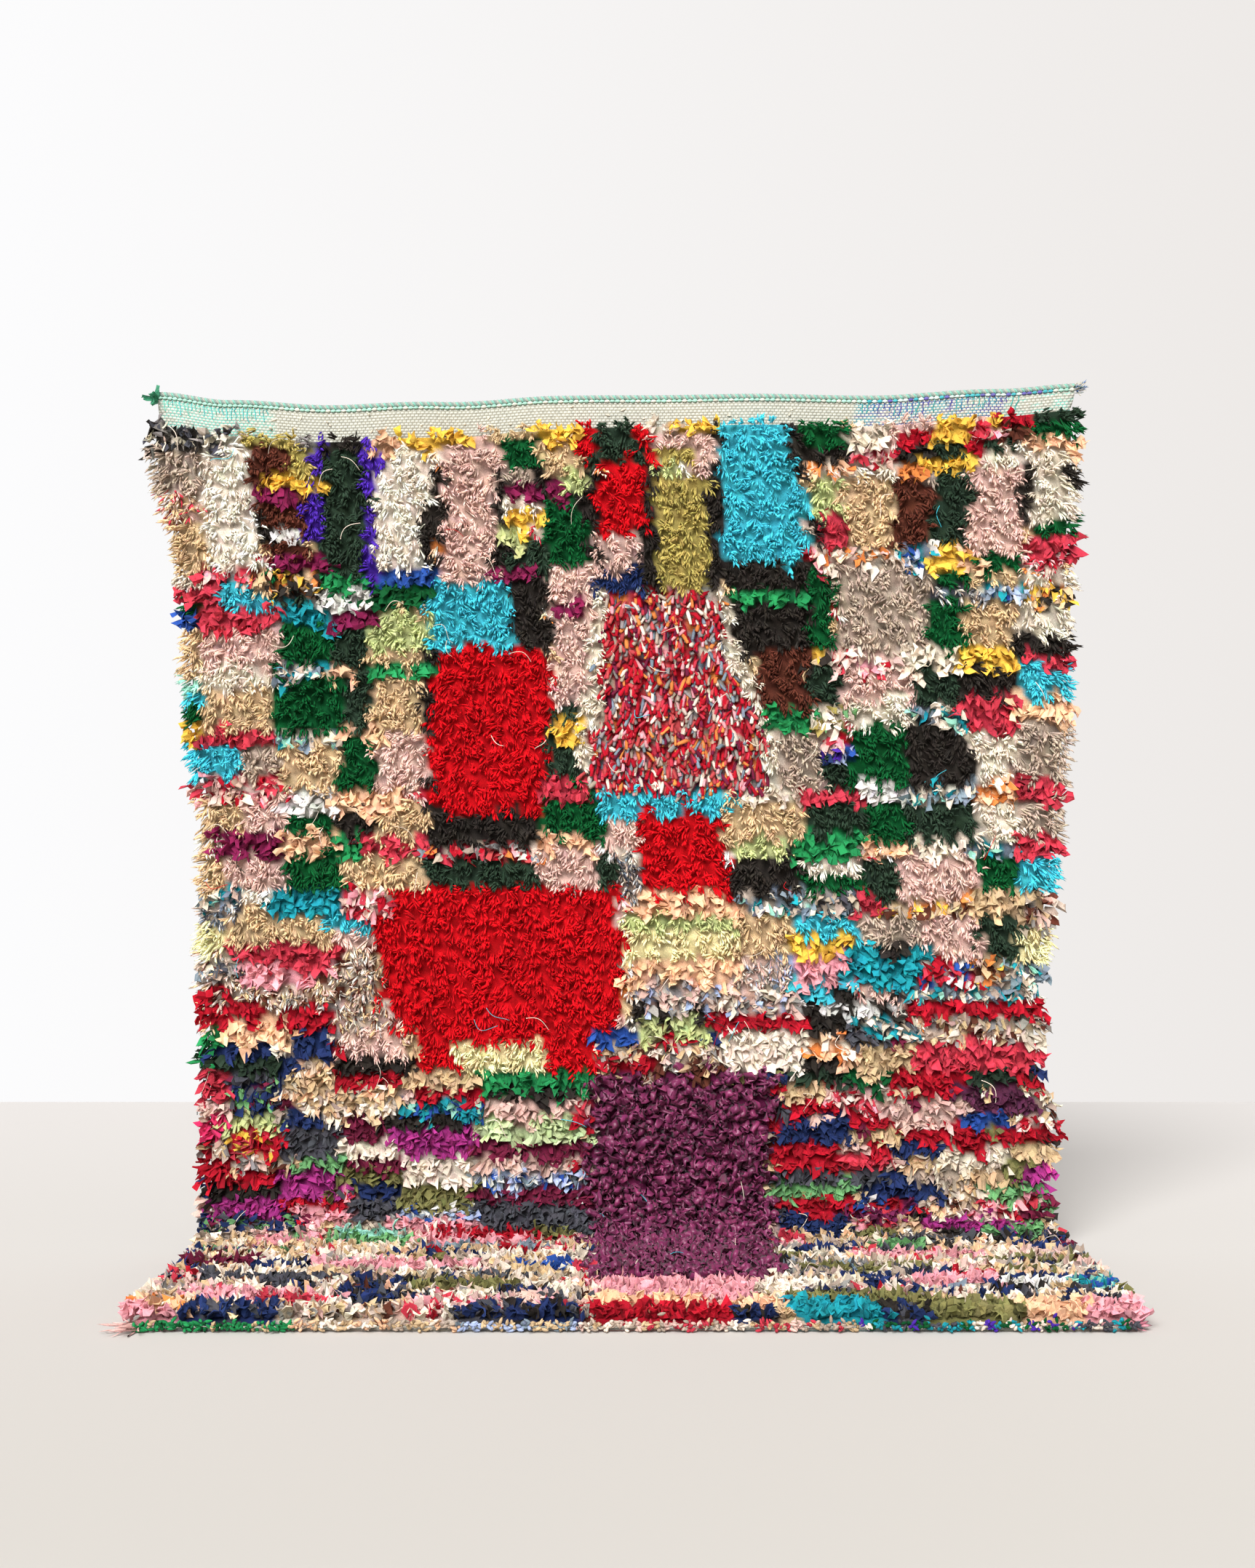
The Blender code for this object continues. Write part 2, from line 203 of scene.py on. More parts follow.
# The yarns' and rags' own colours
DYES = {
    "red": "#C40418", "turquoise": "#44BACB", "green": "#075229", "dark_green": "#2B3C2E",
    "black": "#2D2824", "pink": "#DDB8AC", "cream": "#F6E4D2", "beige": "#D2B48C",
    "taupe": "#B7A493", "grey": "#8F8A86", "brown": "#5C3024", "olive": "#AE9D57",
    "lime": "#BDC588", "yellow": "#F1C14C", "coral": "#C4394A", "magenta": "#7E1D48",
    "navy": "#22315E", "blue": "#2A4F9C", "teal": "#1E93A0", "purple": "#74264F",
    "mint": "#93CDB8", "violet": "#4C2AA0", "peach": "#F1C09A", "orange": "#DE8444",
    "sage": "#6FA66C", "maroon": "#701E3A", "charcoal": "#4B4B52", "lilac_blue": "#AAB8DA",
    "ivory": "#E6D8C4", "pale_yellow": "#F2E0AA", "leaf": "#24894E", "rose": "#E8A0A8",
    "hot_pink": "#E0356A", "white": "#E2DED8", "plum": "#5B2A45", "fuchsia": "#A83482",
    "moss": "#7A7648", "slate": "#7C8A96", "crimson": "#B01427", "brick": "#B8484A",
    "pale_lime": "#C6D6A2",
}

# Mixed yarns and printed rags: each strand of a knot takes one of these dyes
MIXES = {
    "speckle": ("black", "charcoal", "ivory", "grey", "black"),
    "red_fleck": ("beige", "beige", "taupe", "pink", "coral", "cream"),
    "confetti": (
        "crimson", "crimson", "brick", "crimson", "coral", "grey", "slate", "cream", "orange", "brick",
        "crimson", "taupe", "maroon", "rose",
    ),
    "teal_check": ("slate", "cream", "teal", "ivory", "slate", "mint", "taupe", "charcoal"),
    "blue_check": ("teal", "white", "slate", "lilac_blue", "blue"),
    "black_yellow": ("black", "yellow", "black", "beige", "orange"),
    "pink_red": ("pink", "coral", "cream", "pink", "crimson", "rose"),
    "orange_mix": ("orange", "coral", "beige", "peach", "brown"),
    "ivory_mix": ("ivory", "peach", "orange", "cream", "pink"),
    "dun_mix": ("taupe", "beige", "brown", "cream", "grey", "pink"),
    "grey_mix": ("grey", "cream", "taupe", "charcoal", "slate"),
    "red_white_blue": ("crimson", "white", "blue", "coral", "crimson"),
    "brown_yellow": ("brown", "beige", "yellow", "taupe", "orange", "beige"),
    "melange": ("lilac_blue", "white", "slate", "lilac_blue", "blue"),
    "dark_green_mix": ("dark_green", "black", "dark_green"),
    "navy_green": ("navy", "sage", "navy", "charcoal", "maroon"),
    "red_yellow": ("crimson", "coral", "yellow", "crimson", "brick"),
    "olive_white": ("olive", "ivory", "sage", "cream"),
    "blue_purple": ("blue", "violet", "lilac_blue", "navy"),
    "teal_blue": ("teal", "blue", "teal", "mint"),
    "floor_cream": ("cream", "beige", "taupe", "ivory", "beige", "peach"),
    "navy_black": ("navy", "black", "navy", "charcoal"),
    "navy_peach": ("navy", "navy", "peach", "navy", "charcoal", "navy"),
    "peach_orange": ("peach", "orange", "peach", "cream"),
    "pale_mix": ("pink", "grey", "cream", "taupe", "pink", "lilac_blue"),
}


def blocks_of(rows: str) -> tuple[Block, ...]:
    """The blocks of one table of the chart.

    Args:
        rows: Each block as its yarn, left, right, top and bottom, with a comma between two blocks.

    Returns:
        The blocks, in the order in which they are laid.
    """
    parts = (row.split() for row in rows.split(","))
    return tuple(Block(yarn, *(float(edge) for edge in edges)) for yarn, *edges in parts)


WOOL_BLOCKS = blocks_of(
    """
    olive -59 -51 4.4 8.3, grey -51 -47 4.6 8.0, taupe -73 -64 7 14, red_fleck -73 -62 14 19, beige -71 -62 19 28,
    cream -64 -55.5 8 27, brown -58 -52 8 14, olive -52 -47 8 11, brown -56 -48 14.7 20, black -55.8 -54 19 22,
    brown -55 -48 21.8 24, green -54.5 -46 25.6 27.7, violet -48 -45.5 4.4 11, violet -49 -46.5 14 21,
    black -46 -40 4 8, dark_green -46.5 -39 8 28, violet -40 -37 4 18, violet -40 -37.7 18 28, cream -38 -29.3 8 27,
    black -29.8 -27.8 11 17, black -31.2 -29 17 27, pink -28.2 -20 6.5 26, black -20.2 -18.4 11 26,
    green -19 -12 7 11.6, beige -13 -7 6.5 11, taupe -19 -15 11 13.5, black -15 -12 11 13.5, pink -12 -10 11 14,
    lime -10.3 -6 11 14, cream -18.6 -10.5 15 17.6, green -12.5 -5.6 14 27, dark_green -19 -13 22 27,
    black -6.6 -4.2 11 27, dark_green -5.8 2.6 2.4 9.5, red 0.8 2.8 3.0 5.2, red 2.4 4.4 5.0 11.2,
    red -7.2 -5.6 2.8 10.8, red -4.5 2.3 9.4 21.3, pink -4.3 3 21 27, navy -6.4 4.2 26.5 29.7,
    black 2.3 4.4 11 28.6, pink 4 12.6 5 8, pink 8.4 13.4 8 12.4, olive 4 9.7 8 9.8, lime 4 8 9.5 12.4,
    olive 4.3 13.2 12 28.6, black 12.5 14.6 5 27.6, turquoise 13.2 25.4 2 5, turquoise 14.4 25.8 5 12,
    turquoise 14.4 27 12 20, turquoise 14.4 28.3 20 26, black 25 27 3.5 12, black 27.8 29.8 14 23.4,
    green 26 33.3 2.4 7.4, black 26 34.4 7 9.5, lime 28.3 32.8 12.6 18, pink 40.4 46.7 2.2 7, ivory 35 41.5 10 13,
    beige 32.8 41 12 23.4, dark_green 61.4 70 -1 3.5, green 61 70 3.5 5.8, dark_green 46.7 52.2 6 9,
    dark_green 53.5 60 5.3 9, ivory 52 61.4 7.7 10.8, brown 41 46.7 12 22.6, dark_green 46.4 52 11 23.4,
    pink 52 60.3 10 24.4, black 60 62 10 19, ivory 61.8 72 7.7 19, black 66.5 72 10 13.5, green 61.7 69 18.7 21,
    green 53.3 60 23.8 26.2, beige 52 60 26 28.6, black 15.5 27.3 25.5 29.2, black 15.5 28 30.7 39,
    green 27.3 33.6 26 30, green 27.8 31.2 30 38, taupe 31.5 46.2 24.7 39, green 46.2 52.2 25 29.7,
    grey_mix 46.7 54.6 29.2 31.2, green 45.7 52 30.7 38, beige 51.7 59 30.7 38, ivory 58.8 70 30 37,
    black 59 69 36.3 38.4, brown 19.4 28 39 47.8, dark_green 28 32.8 40.7 47.3, pink 32.5 44 40.7 47.5,
    dark_green 44 51 40.7 46.5, black 51 58.8 40.2 46.5, turquoise 58.5 69.5 39.7 45.7, ivory 34 44 45.6 50.5,
    pink -29.7 -19.8 25.6 28, ivory -69 -63 27.5 29, green -70 -63 31 32.6, turquoise -63 -53 29 32.3,
    dark_green_mix -53.5 -45 28.7 32.3, beige -39 -30.7 31 33.4, turquoise -30.5 -17.3 27.4 37.8,
    black -17.8 -12 27.4 37.5, pink -12 -4.8 25 32, pink -11.5 -3.8 32 50, beige -70 -64.4 34.4 42.7,
    pink -65 -53 34.4 42.7, ivory -64 -53.5 41.6 44.5, green -53.5 -45 34.4 41.7, dark_green -45 -39.5 34.4 50,
    lime -40 -30 33 38, beige -40 -30.5 38 41.4, beige -39.5 -29.7 42.7 50, turquoise -70 -64 44 46.5,
    mint -70 -64 42.7 44.2, green -70 -64 46.4 48.5, beige -64 -53.5 44.3 50, green -53.7 -43 42.7 50.6,
    black -31.2 -29.4 39 62.6, dark_green -13.6 -8 46.8 59, red -29.7 -12.2 37.8 62.6, turquoise -68 -58 51.7 57.6,
    taupe -58.7 -52 52 58, beige -52.5 -43.7 52 59.7, green -43.7 -38.5 51.7 59.4, pink -38.5 -30.8 51 60,
    green -13.6 -3.3 57.6 67, black -30 -13.6 62.8 68.3, beige -68 -57.6 60.5 66.7, pink -58 -51.7 61.5 66,
    green -51.7 -44.7 62.4 66.4, black -45 -38.7 62.8 67, beige -38.7 -30.5 61.8 67, beige -68 -60.7 69 75,
    pink -60.7 -51.4 69 74.5, green -51.4 -43 69 74.7, beige -43 -30.7 69 75, dark_green -30.5 -13.4 69.3 75,
    pink -13.6 -3.8 68.5 74.7, dark_green -4.6 -1 69 75.5, grey_mix -1.6 2.2 64 76, pink -3.7 1.8 62 68,
    taupe 21 30 49.7 59, dark_green 30 36 55 59, green 34 43 50 59, black 42.8 52.5 49 58, ivory 52.2 60 48.6 58,
    taupe 59 70 48.6 58.6, turquoise -3.7 16.8 58.8 62.8, beige 14.7 26.2 60.7 68.6, dark_green 26.2 35.7 61.5 67,
    green 35.7 43.3 60.7 67, dark_green 43 52.5 60.5 67, ivory 52.5 60 61 67, taupe 59.6 69 61 67.5,
    red 2.1 14.5 62.8 70, red 1.8 16.8 70 75.7, lime 15.7 26.8 67 69.4, black 16 26.2 69.6 75.4,
    cream 26.2 36.7 69.6 72.5, green 25.4 35.7 72.3 75.7, dark_green 35.7 41.2 69.6 76, pink 41.2 54 69 75.7,
    green 53.3 59.8 69.6 75, turquoise 59.6 67.5 69.6 75, lime -0.3 16.8 78.3 81.7, pale_yellow -0.3 16.8 81.4 85.4,
    beige 16.3 25.7 78 84.3, turquoise 25.7 34.6 77.8 82.5, taupe 34.6 44 78 83.3, pink 44 55.4 78 85.4,
    dark_green 53.4 59.8 78 86, pale_yellow 59.3 67 80 85.6, pale_mix 16.3 26.2 85 88.5,
    grey_mix -69 -58.7 77.6 80.2, beige -60.7 -42 78 83.3, turquoise -45.5 -37.4 77.8 80.7, pink -45 -35 80.7 83.3,
    pale_yellow -69 -60.7 80.4 85.3, dun_mix -67 -34 84 96, pink -44 -34 96.4 101, red -36 -1.2 74.5 79,
    red -38.2 -0.6 79 91, red -36 -1.5 91 95.5, red -32.4 -4.6 95.5 98.6, red -32.3 -25 98 102.5,
    red -13 -4.8 98 102.5, pale_yellow -26 -12 98 102.5
    """
)

RAG_BLOCKS = blocks_of(
    """
    speckle -74 -59 3.0 7.6, yellow -55 -45.5 11.0 14.5, magenta -57 -50.5 13.8 16.2, white -54 -49 19.8 22,
    magenta -54 -46 24 26, peach -39 -33.6 5 8.3, yellow -34 -22 4.4 8.0, yellow -13.6 -7 3.0 6.7,
    magenta -18.6 -10 13.2 15.4, yellow -19 -13 17.3 20, lime -19 -14 20 22.5, ivory 3.9 7.3 2.4 5.5,
    yellow 7.3 13 2.4 5.3, peach_orange 26.5 34.4 9.2 12.6, coral 29 33.3 17.4 22.6, ivory 33.6 40.4 2.6 7.4,
    pink_red 34.4 41.5 6.6 10.3, yellow 46 58 0.2 6.6, pink_red 52.3 57.5 3.2 6, crimson 57.5 61.4 -0.4 3.5,
    brown 57 61.4 3.2 5.4, crimson 41.2 46.7 6 7.4, black 41.2 46.7 7.2 9.2, crimson 52 53.7 5.5 9,
    peach 61 69 5.8 8.2, orange 41.7 45.4 9 12, yellow 45 53 8.6 11.6, coral 60.3 67.5 20.8 24.4,
    pink_red 27 31 22.8 26, ivory_mix 31 41 22.5 25.4, blue_check 41 46.4 22.2 25.6, yellow 46 51.6 22.6 25.6,
    peach 51.2 53.5 22.5 26, leaf 15.5 29 28.9 31, blue_check 55 60.3 28.2 30.4, black_yellow 60.3 70 28 31,
    black_yellow 27.5 31.5 38.2 40.6, pink_red 31 42 38.4 41, ivory 42 50.4 38.2 41, yellow 50.4 59.6 38.2 40.8,
    coral 59.6 69.5 38.2 40.4, leaf 20.7 29.4 47.3 51, olive_white 28.3 33.6 46.5 50,
    teal_check 43.3 52.5 46.3 49.4, coral 51 59.6 45.4 50, peach 59 70 45 48.9, orange_mix -60 -54 25.8 28,
    pink_red -65 -57 26 28, black_yellow -54.5 -46 26.9 29.2, magenta -19.8 -13.4 25.4 28,
    blue -38.5 -29.4 26.4 28.6, green -39 -30 28.2 31.3, leaf -46.5 -39 27 29.5, white -47 -38.5 29.3 31.8,
    coral -70 -62 28.5 31.3, blue -71 -65 32.3 34.7, coral -65.6 -52.5 32 35, teal -52.9 -45 31.3 34.9,
    magenta -45 -39 31.6 35, magenta -12 -6 30.6 32.4, leaf -39 -30 40.9 43, teal_check -53 -46 41 43,
    peach -45 -41 41 43, yellow -11 -4.6 48.4 52.4, yellow -69 -64.6 48.8 52, coral -65 -53 50 52.6,
    teal_check -53 -43.7 50.2 52.5, peach -43.7 -38 49.6 52, black_yellow -58 -52 57.6 60, pink_red -66 -53 58 61,
    white -52.5 -44 60 63, peach -44 -35 59.6 62.6, coral -13 -6.4 58 61, magenta -62 -52 66 69.5,
    peach -52.7 -43 66.4 69, leaf -43.6 -39.5 66.5 69.6, coral -40 -30.5 66.8 69, confetti -30.5 -13.6 67.6 69.8,
    peach -13.6 -3.8 66.6 68.8, pink_red 29 34 50.4 53, blue_purple 29 35 52.8 55.2, ivory 16.8 26 58.4 61,
    coral 26.2 35.7 59.2 62, white 35.7 42.8 58.6 61, teal_check 42.8 52.7 58 60.8, peach_orange 52.5 60 58 61,
    coral 59 69 58 61.2, leaf 25.7 35.7 66.6 69.4, peach 35.7 42 66.8 69, ivory 42 53 66.8 69.2,
    teal_check 52.7 59.6 67 69.2, coral 59.3 68 66.6 69.2, peach 0 17 75.4 78.6, teal_check 17.3 27.8 75 77.6,
    grey_mix 27.8 34.6 75.2 77.6, coral 34.6 39.4 75.4 78.2, brown_yellow 39.4 53 75.6 78.2, beige 53 61 75 78.6,
    dun_mix 60.3 67.5 75.2 80, peach -0.3 16.8 84.8 89, yellow 25.4 35.2 81.8 84, black 35.2 44.6 82.8 85,
    rose 25.7 35.2 84 89, teal 33.8 46 83.8 89.3, red_white_blue 45 53.5 85.2 89, brown_yellow 53 58 85.2 89,
    teal_check 57.7 66.5 85.8 90, teal_check -69 -58 74.5 77.6, teal -54.5 -44 73.8 78, pink_red -44 -35 75 78,
    coral -60.7 -43.6 82.8 86.2, grey_mix -68 -59 85.6 88, rose -59 -45 86.2 89, crimson -68 -61.3 89.6 91.8,
    crimson -63.8 -44.7 92.4 95, crimson -68 -63.8 94 96.5, peach -62 -50.4 94.8 99, leaf -68 -62.3 96.3 100.4,
    navy -62.8 -54 98.6 101.2, cream -54 -51 97.6 100.7, navy -51 -44.8 96.0 100, blue -5 1.6 95.6 99.6,
    crimson 42 66 90.6 94.4, peach_orange 26 34 96.7 101, coral 44.5 62 97.2 101.4, coral 59 66 98 101
    """
)

STRIP_BLOCKS = blocks_of(
    """
    pale_mix 0.5 26.2 88.4 93.8, turquoise 25.7 34 88.6 90.6, black 26.2 41.5 90.4 93, white 26 41 92.6 94.4,
    black 26.2 42 94.2 96.4, teal_check 41.5 50 89.4 91.4, teal_check 50 60 89 91.2, black 1 12 92.5 94.8,
    crimson 12.6 26.2 93.6 96, lime 2 12.6 94.5 97.2, dun_mix -5 14 97.5 102, teal_check 33.4 44.2 94.6 97,
    dun_mix 44.5 66 94.4 97.4, beige 34 44.5 97.4 102.6, ivory 60 66 96.4 98.6, cream 14.6 26.8 96.4 102.6,
    crimson -4 4.7 100.6 102.8, brown 4.7 14.4 101.4 103.4, black -45 -32.3 100.4 103.3,
    dark_green -68 -52.5 100.2 102.4, crimson -44.4 -33.3 102.8 105, coral -67 -60.7 102.2 106.8,
    navy_green -61 -52.5 103.5 109.5, floor_cream -50.4 -33.8 104.5 109.6, beige -33.3 -22 102.4 105.4,
    leaf -22.4 -5 102.6 105.4, crimson -33 -22 105.2 107.2, teal_blue -35 -22 107 109.4, black -22 -6 105.4 107.4,
    pink -22 -8 107 109.5, pale_lime -24 -5.6 109.5 114, hot_pink -68 -60.7 108.8 112.6, lime -61 -52.5 109 111.4,
    red_yellow -60.7 -52.4 111 114.8, charcoal -52.5 -44 110.4 114.7, maroon -44 -37.4 109.5 113,
    black -37.4 -22.4 109.4 112, fuchsia -35.5 -23 111.4 115.4, cream -44.7 -35 112.6 115,
    crimson -68 -60.7 114.8 119, dun_mix -60 -51 114.7 117.6, sage -51.4 -41.6 115.2 117.6,
    maroon -41.6 -35 115.2 117.6, cream -34.6 -23 115.6 120, maroon -23 -5.6 113.8 115.8, pink -23 -6 115.6 117.4,
    melange -23.5 -5 117.2 120.4, crimson -62.8 -51 117.3 119.8, fuchsia -52.7 -42.6 117.4 121,
    moss -43 -35 117.5 119.8, navy -41.3 -35 119.6 122, moss -35 -22.4 119.8 123.4, maroon -24 -5 120.2 122.8,
    black -64 -52.5 119.8 122.6, fuchsia -63 -52.5 122.4 125, crimson -52.5 -42.6 121.2 123.8,
    charcoal -43 -35 121.4 126, charcoal -23 -5 122.6 127.4, melange -35 -23 123.2 125.6,
    rose -51.4 -42 123.6 126.6, rose -36 -23 125.3 128.4, navy_green -66 -48 124.8 128.4,
    dark_green 24.3 33.4 102.2 105, green 33.4 41 103 105.6, crimson 40.6 52.2 102 105.6,
    dark_green 52.2 60 102.2 105, crimson 59.4 66 102.4 104.6, plum 49 62 105.2 108.6, pink 39.5 52.2 107.4 110.4,
    crimson 32.3 40 108.4 110.4, blue 51 58 108.8 111, navy 22.7 34 109.5 113, crimson 42.3 54.2 110.6 114,
    crimson 56 68 110.3 112.6, crimson 21.8 32.3 113.8 117, coral 33 40 114.4 116.8, navy 40 48 113.8 116,
    ivory 48 58 114 118, charcoal 22.4 39.5 116.8 119, fuchsia 59.7 68 116.4 120, navy 35 47.3 118.8 121,
    sage 22 35 118.8 122, sage 53.4 63 119.8 122.4, crimson 21.8 34.5 121.8 124.4, red_white_blue 35 45 121.2 123.4,
    purple 33.4 44 123.4 126, pink_red 53 62 122.4 126, maroon 60 68 122.8 125.6, navy 23.5 33 124.6 127.4,
    fuchsia 45 60 125.4 127.4, sage 53 63 127 129.2, navy_black 53 66 129 131.6, coral 20 26 129 131.4,
    rose -56 -14 130 133, floor_cream -64 -30 133 138, slate -30 -12 134 137, mint -44 -34 128 130.4,
    sage -47 -32 130 132.6, navy_green -66 -50 136 139, sage 36 44 133 136, navy 24 33 135 138, rose 33 52 139 142,
    maroon -66 -54 142 147, rose -45 -20 145 150, blue -17 -8 146 150, coral -8 -2 146 151, grey_mix 17 35 145 153,
    moss 25 38 148 152, charcoal -60 -40 153 158, navy_black -38 -24 156 161, moss -30 -14 158 162,
    rose -5 17 155 168, rose 39 52 154 160, navy 32 39 157 161, white 52 61 156 160, teal_blue 61 68 155 163,
    black 50 58 160 164, navy_black -38 -26 164 170, rose -60 -45 163 168, coral -50 -40 167 170,
    moss 22 41 164 170
    """
)

FRONT_BLOCKS = blocks_of(
    """
    peach_orange -68 -57 167.5 172.5, rose -68 -57 172 180, navy_peach -58 -44.5 170 180, dun_mix -44.5 -22 170 180,
    pink_red -30 -16 169 174, ivory -30 -22 174 180, navy_black -22 -5.6 171 180, peach -5.6 10 166.5 171.5,
    crimson -5 13 171 180, peach 13 19.6 169 173, navy_black 13 19.6 173 180, teal 20.6 33 168 180,
    navy_black 34 40 170 180, moss 34 40 168 171, moss 39.5 52 169 180, peach 51.5 61 168 180, rose 60.5 70 168 180
    """
)

# The trapezoid of cut knitting yarn: where its edges are at each height
CONFETTI_EDGES = (
    (28.6, -3.6, 13.4), (38, -3.8, 14.2), (40, -4, 15.8), (43, -4.3, 17.4), (48, -4.8, 19.4), (53, -5.3, 20.6),
    (59, -6.6, 21.2),
)
CONFETTI_BORDER = 2.0
CURL_BLOCK = Block("purple", -5.0, 21.4, 103.2, 155.0)

# What lies between the charted blocks: short runs of one yarn in a row
HEAD_FILL = ("cream", "beige", "pink", "taupe", "cream", "beige", "pink_red", "ivory_mix")
FOOT_FILL = (
    "floor_cream", "beige", "floor_cream", "beige", "pink", "dun_mix", "floor_cream", "taupe",
    "navy", "pink_red", "charcoal", "maroon", "dun_mix", "moss", "crimson", "black",
)
FLOOR_FILL = (
    "floor_cream", "floor_cream", "beige", "cream", "dun_mix", "ivory", "pink", "navy_black", "floor_cream",
    "taupe", "moss", "floor_cream", "pink_red", "charcoal", "cream", "dun_mix", "navy", "grey_mix",
)

# The yarns that may be drawn for a loop of the overcast edge, up to a place across in centimetres
HEM_DYES = (
    (-43, ("leaf", "green", "leaf", "leaf", "beige")),
    (-22, ("cream", "beige", "peach", "taupe")),
    (-6, ("lilac_blue", "slate", "beige")),
    (30, ("cream", "beige", "pink", "coral", "taupe")),
    (99, ("teal", "violet", "charcoal", "cream", "green")),
)
# The coloured threads that stand upright in the band: first and last place, step, colours
UPRIGHT_THREADS = (
    (-0.71, -0.545, 0.0062, ("#5CBDBB", "#7CCBB8")),
    (0.36, 0.60, 0.0085, ("#3D7FA6", "#57519C", "#4AA6A0")),
)
LOOSE_ENDS = (
    LooseEnds(
        "corner_rag_knot", "green_rag", "corner_knot", Cut.RAG, 0.0, False, (-0.002, -0.003, -0.002),
        (-0.75, -0.35, 0.25), 8, (14, 22), (3, 5.0), ("#4E9A78", "#3F8A68"),
    ),
    LooseEnds(
        "corner_frayed_yarn", "frayed_yarn", "corner_fray", Cut.WOOL, 1.0, False, (0.002, 0.0, 0.002),
        (0.8, -0.1, 0.15), 44, (9, 20), (0.6, 1.0), ("#D9D3C2", "#5F7FB0", "#6E8F86", "#C9C2AE"),
    ),
    LooseEnds(
        "loose_ends_left", "pink_tail", "tail_left", Cut.WOOL, 0.0, True, (0.004, -0.004, 0.005),
        (-1.0, -0.45, 0.0), 16, (30, 52), (1.0, 1.7), ("#DFA9A4", "#E6B9B0"),
    ),
    LooseEnds(
        "loose_ends_right", "rose_tail", "tail_right", Cut.WOOL, 1.0, True, (-0.004, -0.002, 0.005),
        (1.0, 0.25, 0.0), 12, (20, 34), (1.0, 1.7), ("#C9788A", "#D894A0"),
    ),
)

YARNS = [*DYES, *MIXES]
CUTS = list(Cut)
CHARTED = (
    (WOOL_BLOCKS, Cut.WOOL), (RAG_BLOCKS, Cut.RAG), (STRIP_BLOCKS, Cut.STRIP), (FRONT_BLOCKS, Cut.RAG),
)


def linear(hex_colour: str) -> Point:
    """An sRGB hex colour as linear red, green and blue.

    Args:
        hex_colour: The colour as #RRGGBB.

    Returns:
        The three linear channels.
    """
    channels = [int(hex_colour[i : i + 2], 16) / 255 for i in (1, 3, 5)]
    return tuple(c / 12.92 if c <= 0.04045 else ((c + 0.055) / 1.055) ** 2.4 for c in channels)


def ease(t: Array) -> Array:
    """Slow at both ends of 0 to 1."""
    t = np.clip(t, 0.0, 1.0)
    return t * t * (3.0 - 2.0 * t)


def unit(vectors: Array) -> Array:
    """Each vector at length one."""
    return vectors / np.maximum(np.linalg.norm(vectors, axis=-1, keepdims=True), 1e-9)


def read_column(table: Sequence[NamedTuple], key: str, column: str, at: Array) -> Array:
    """One column of a table at places between its rows, eased from row to row.

    Args:
        table: The table's rows.
        key: The column that the places are in.
        column: The column to read.
        at: The places.

    Returns:
        The column's value at each place.
    """
    keys = np.array([getattr(row, key) for row in table])
    values = np.array([getattr(row, column) for row in table])
    at = np.clip(at, keys[0], keys[-1])
    i = np.clip(np.searchsorted(keys, at) - 1, 0, len(keys) - 2)
    share = ease((at - keys[i]) / (keys[i + 1] - keys[i]))
    return values[i] + (values[i + 1] - values[i]) * share


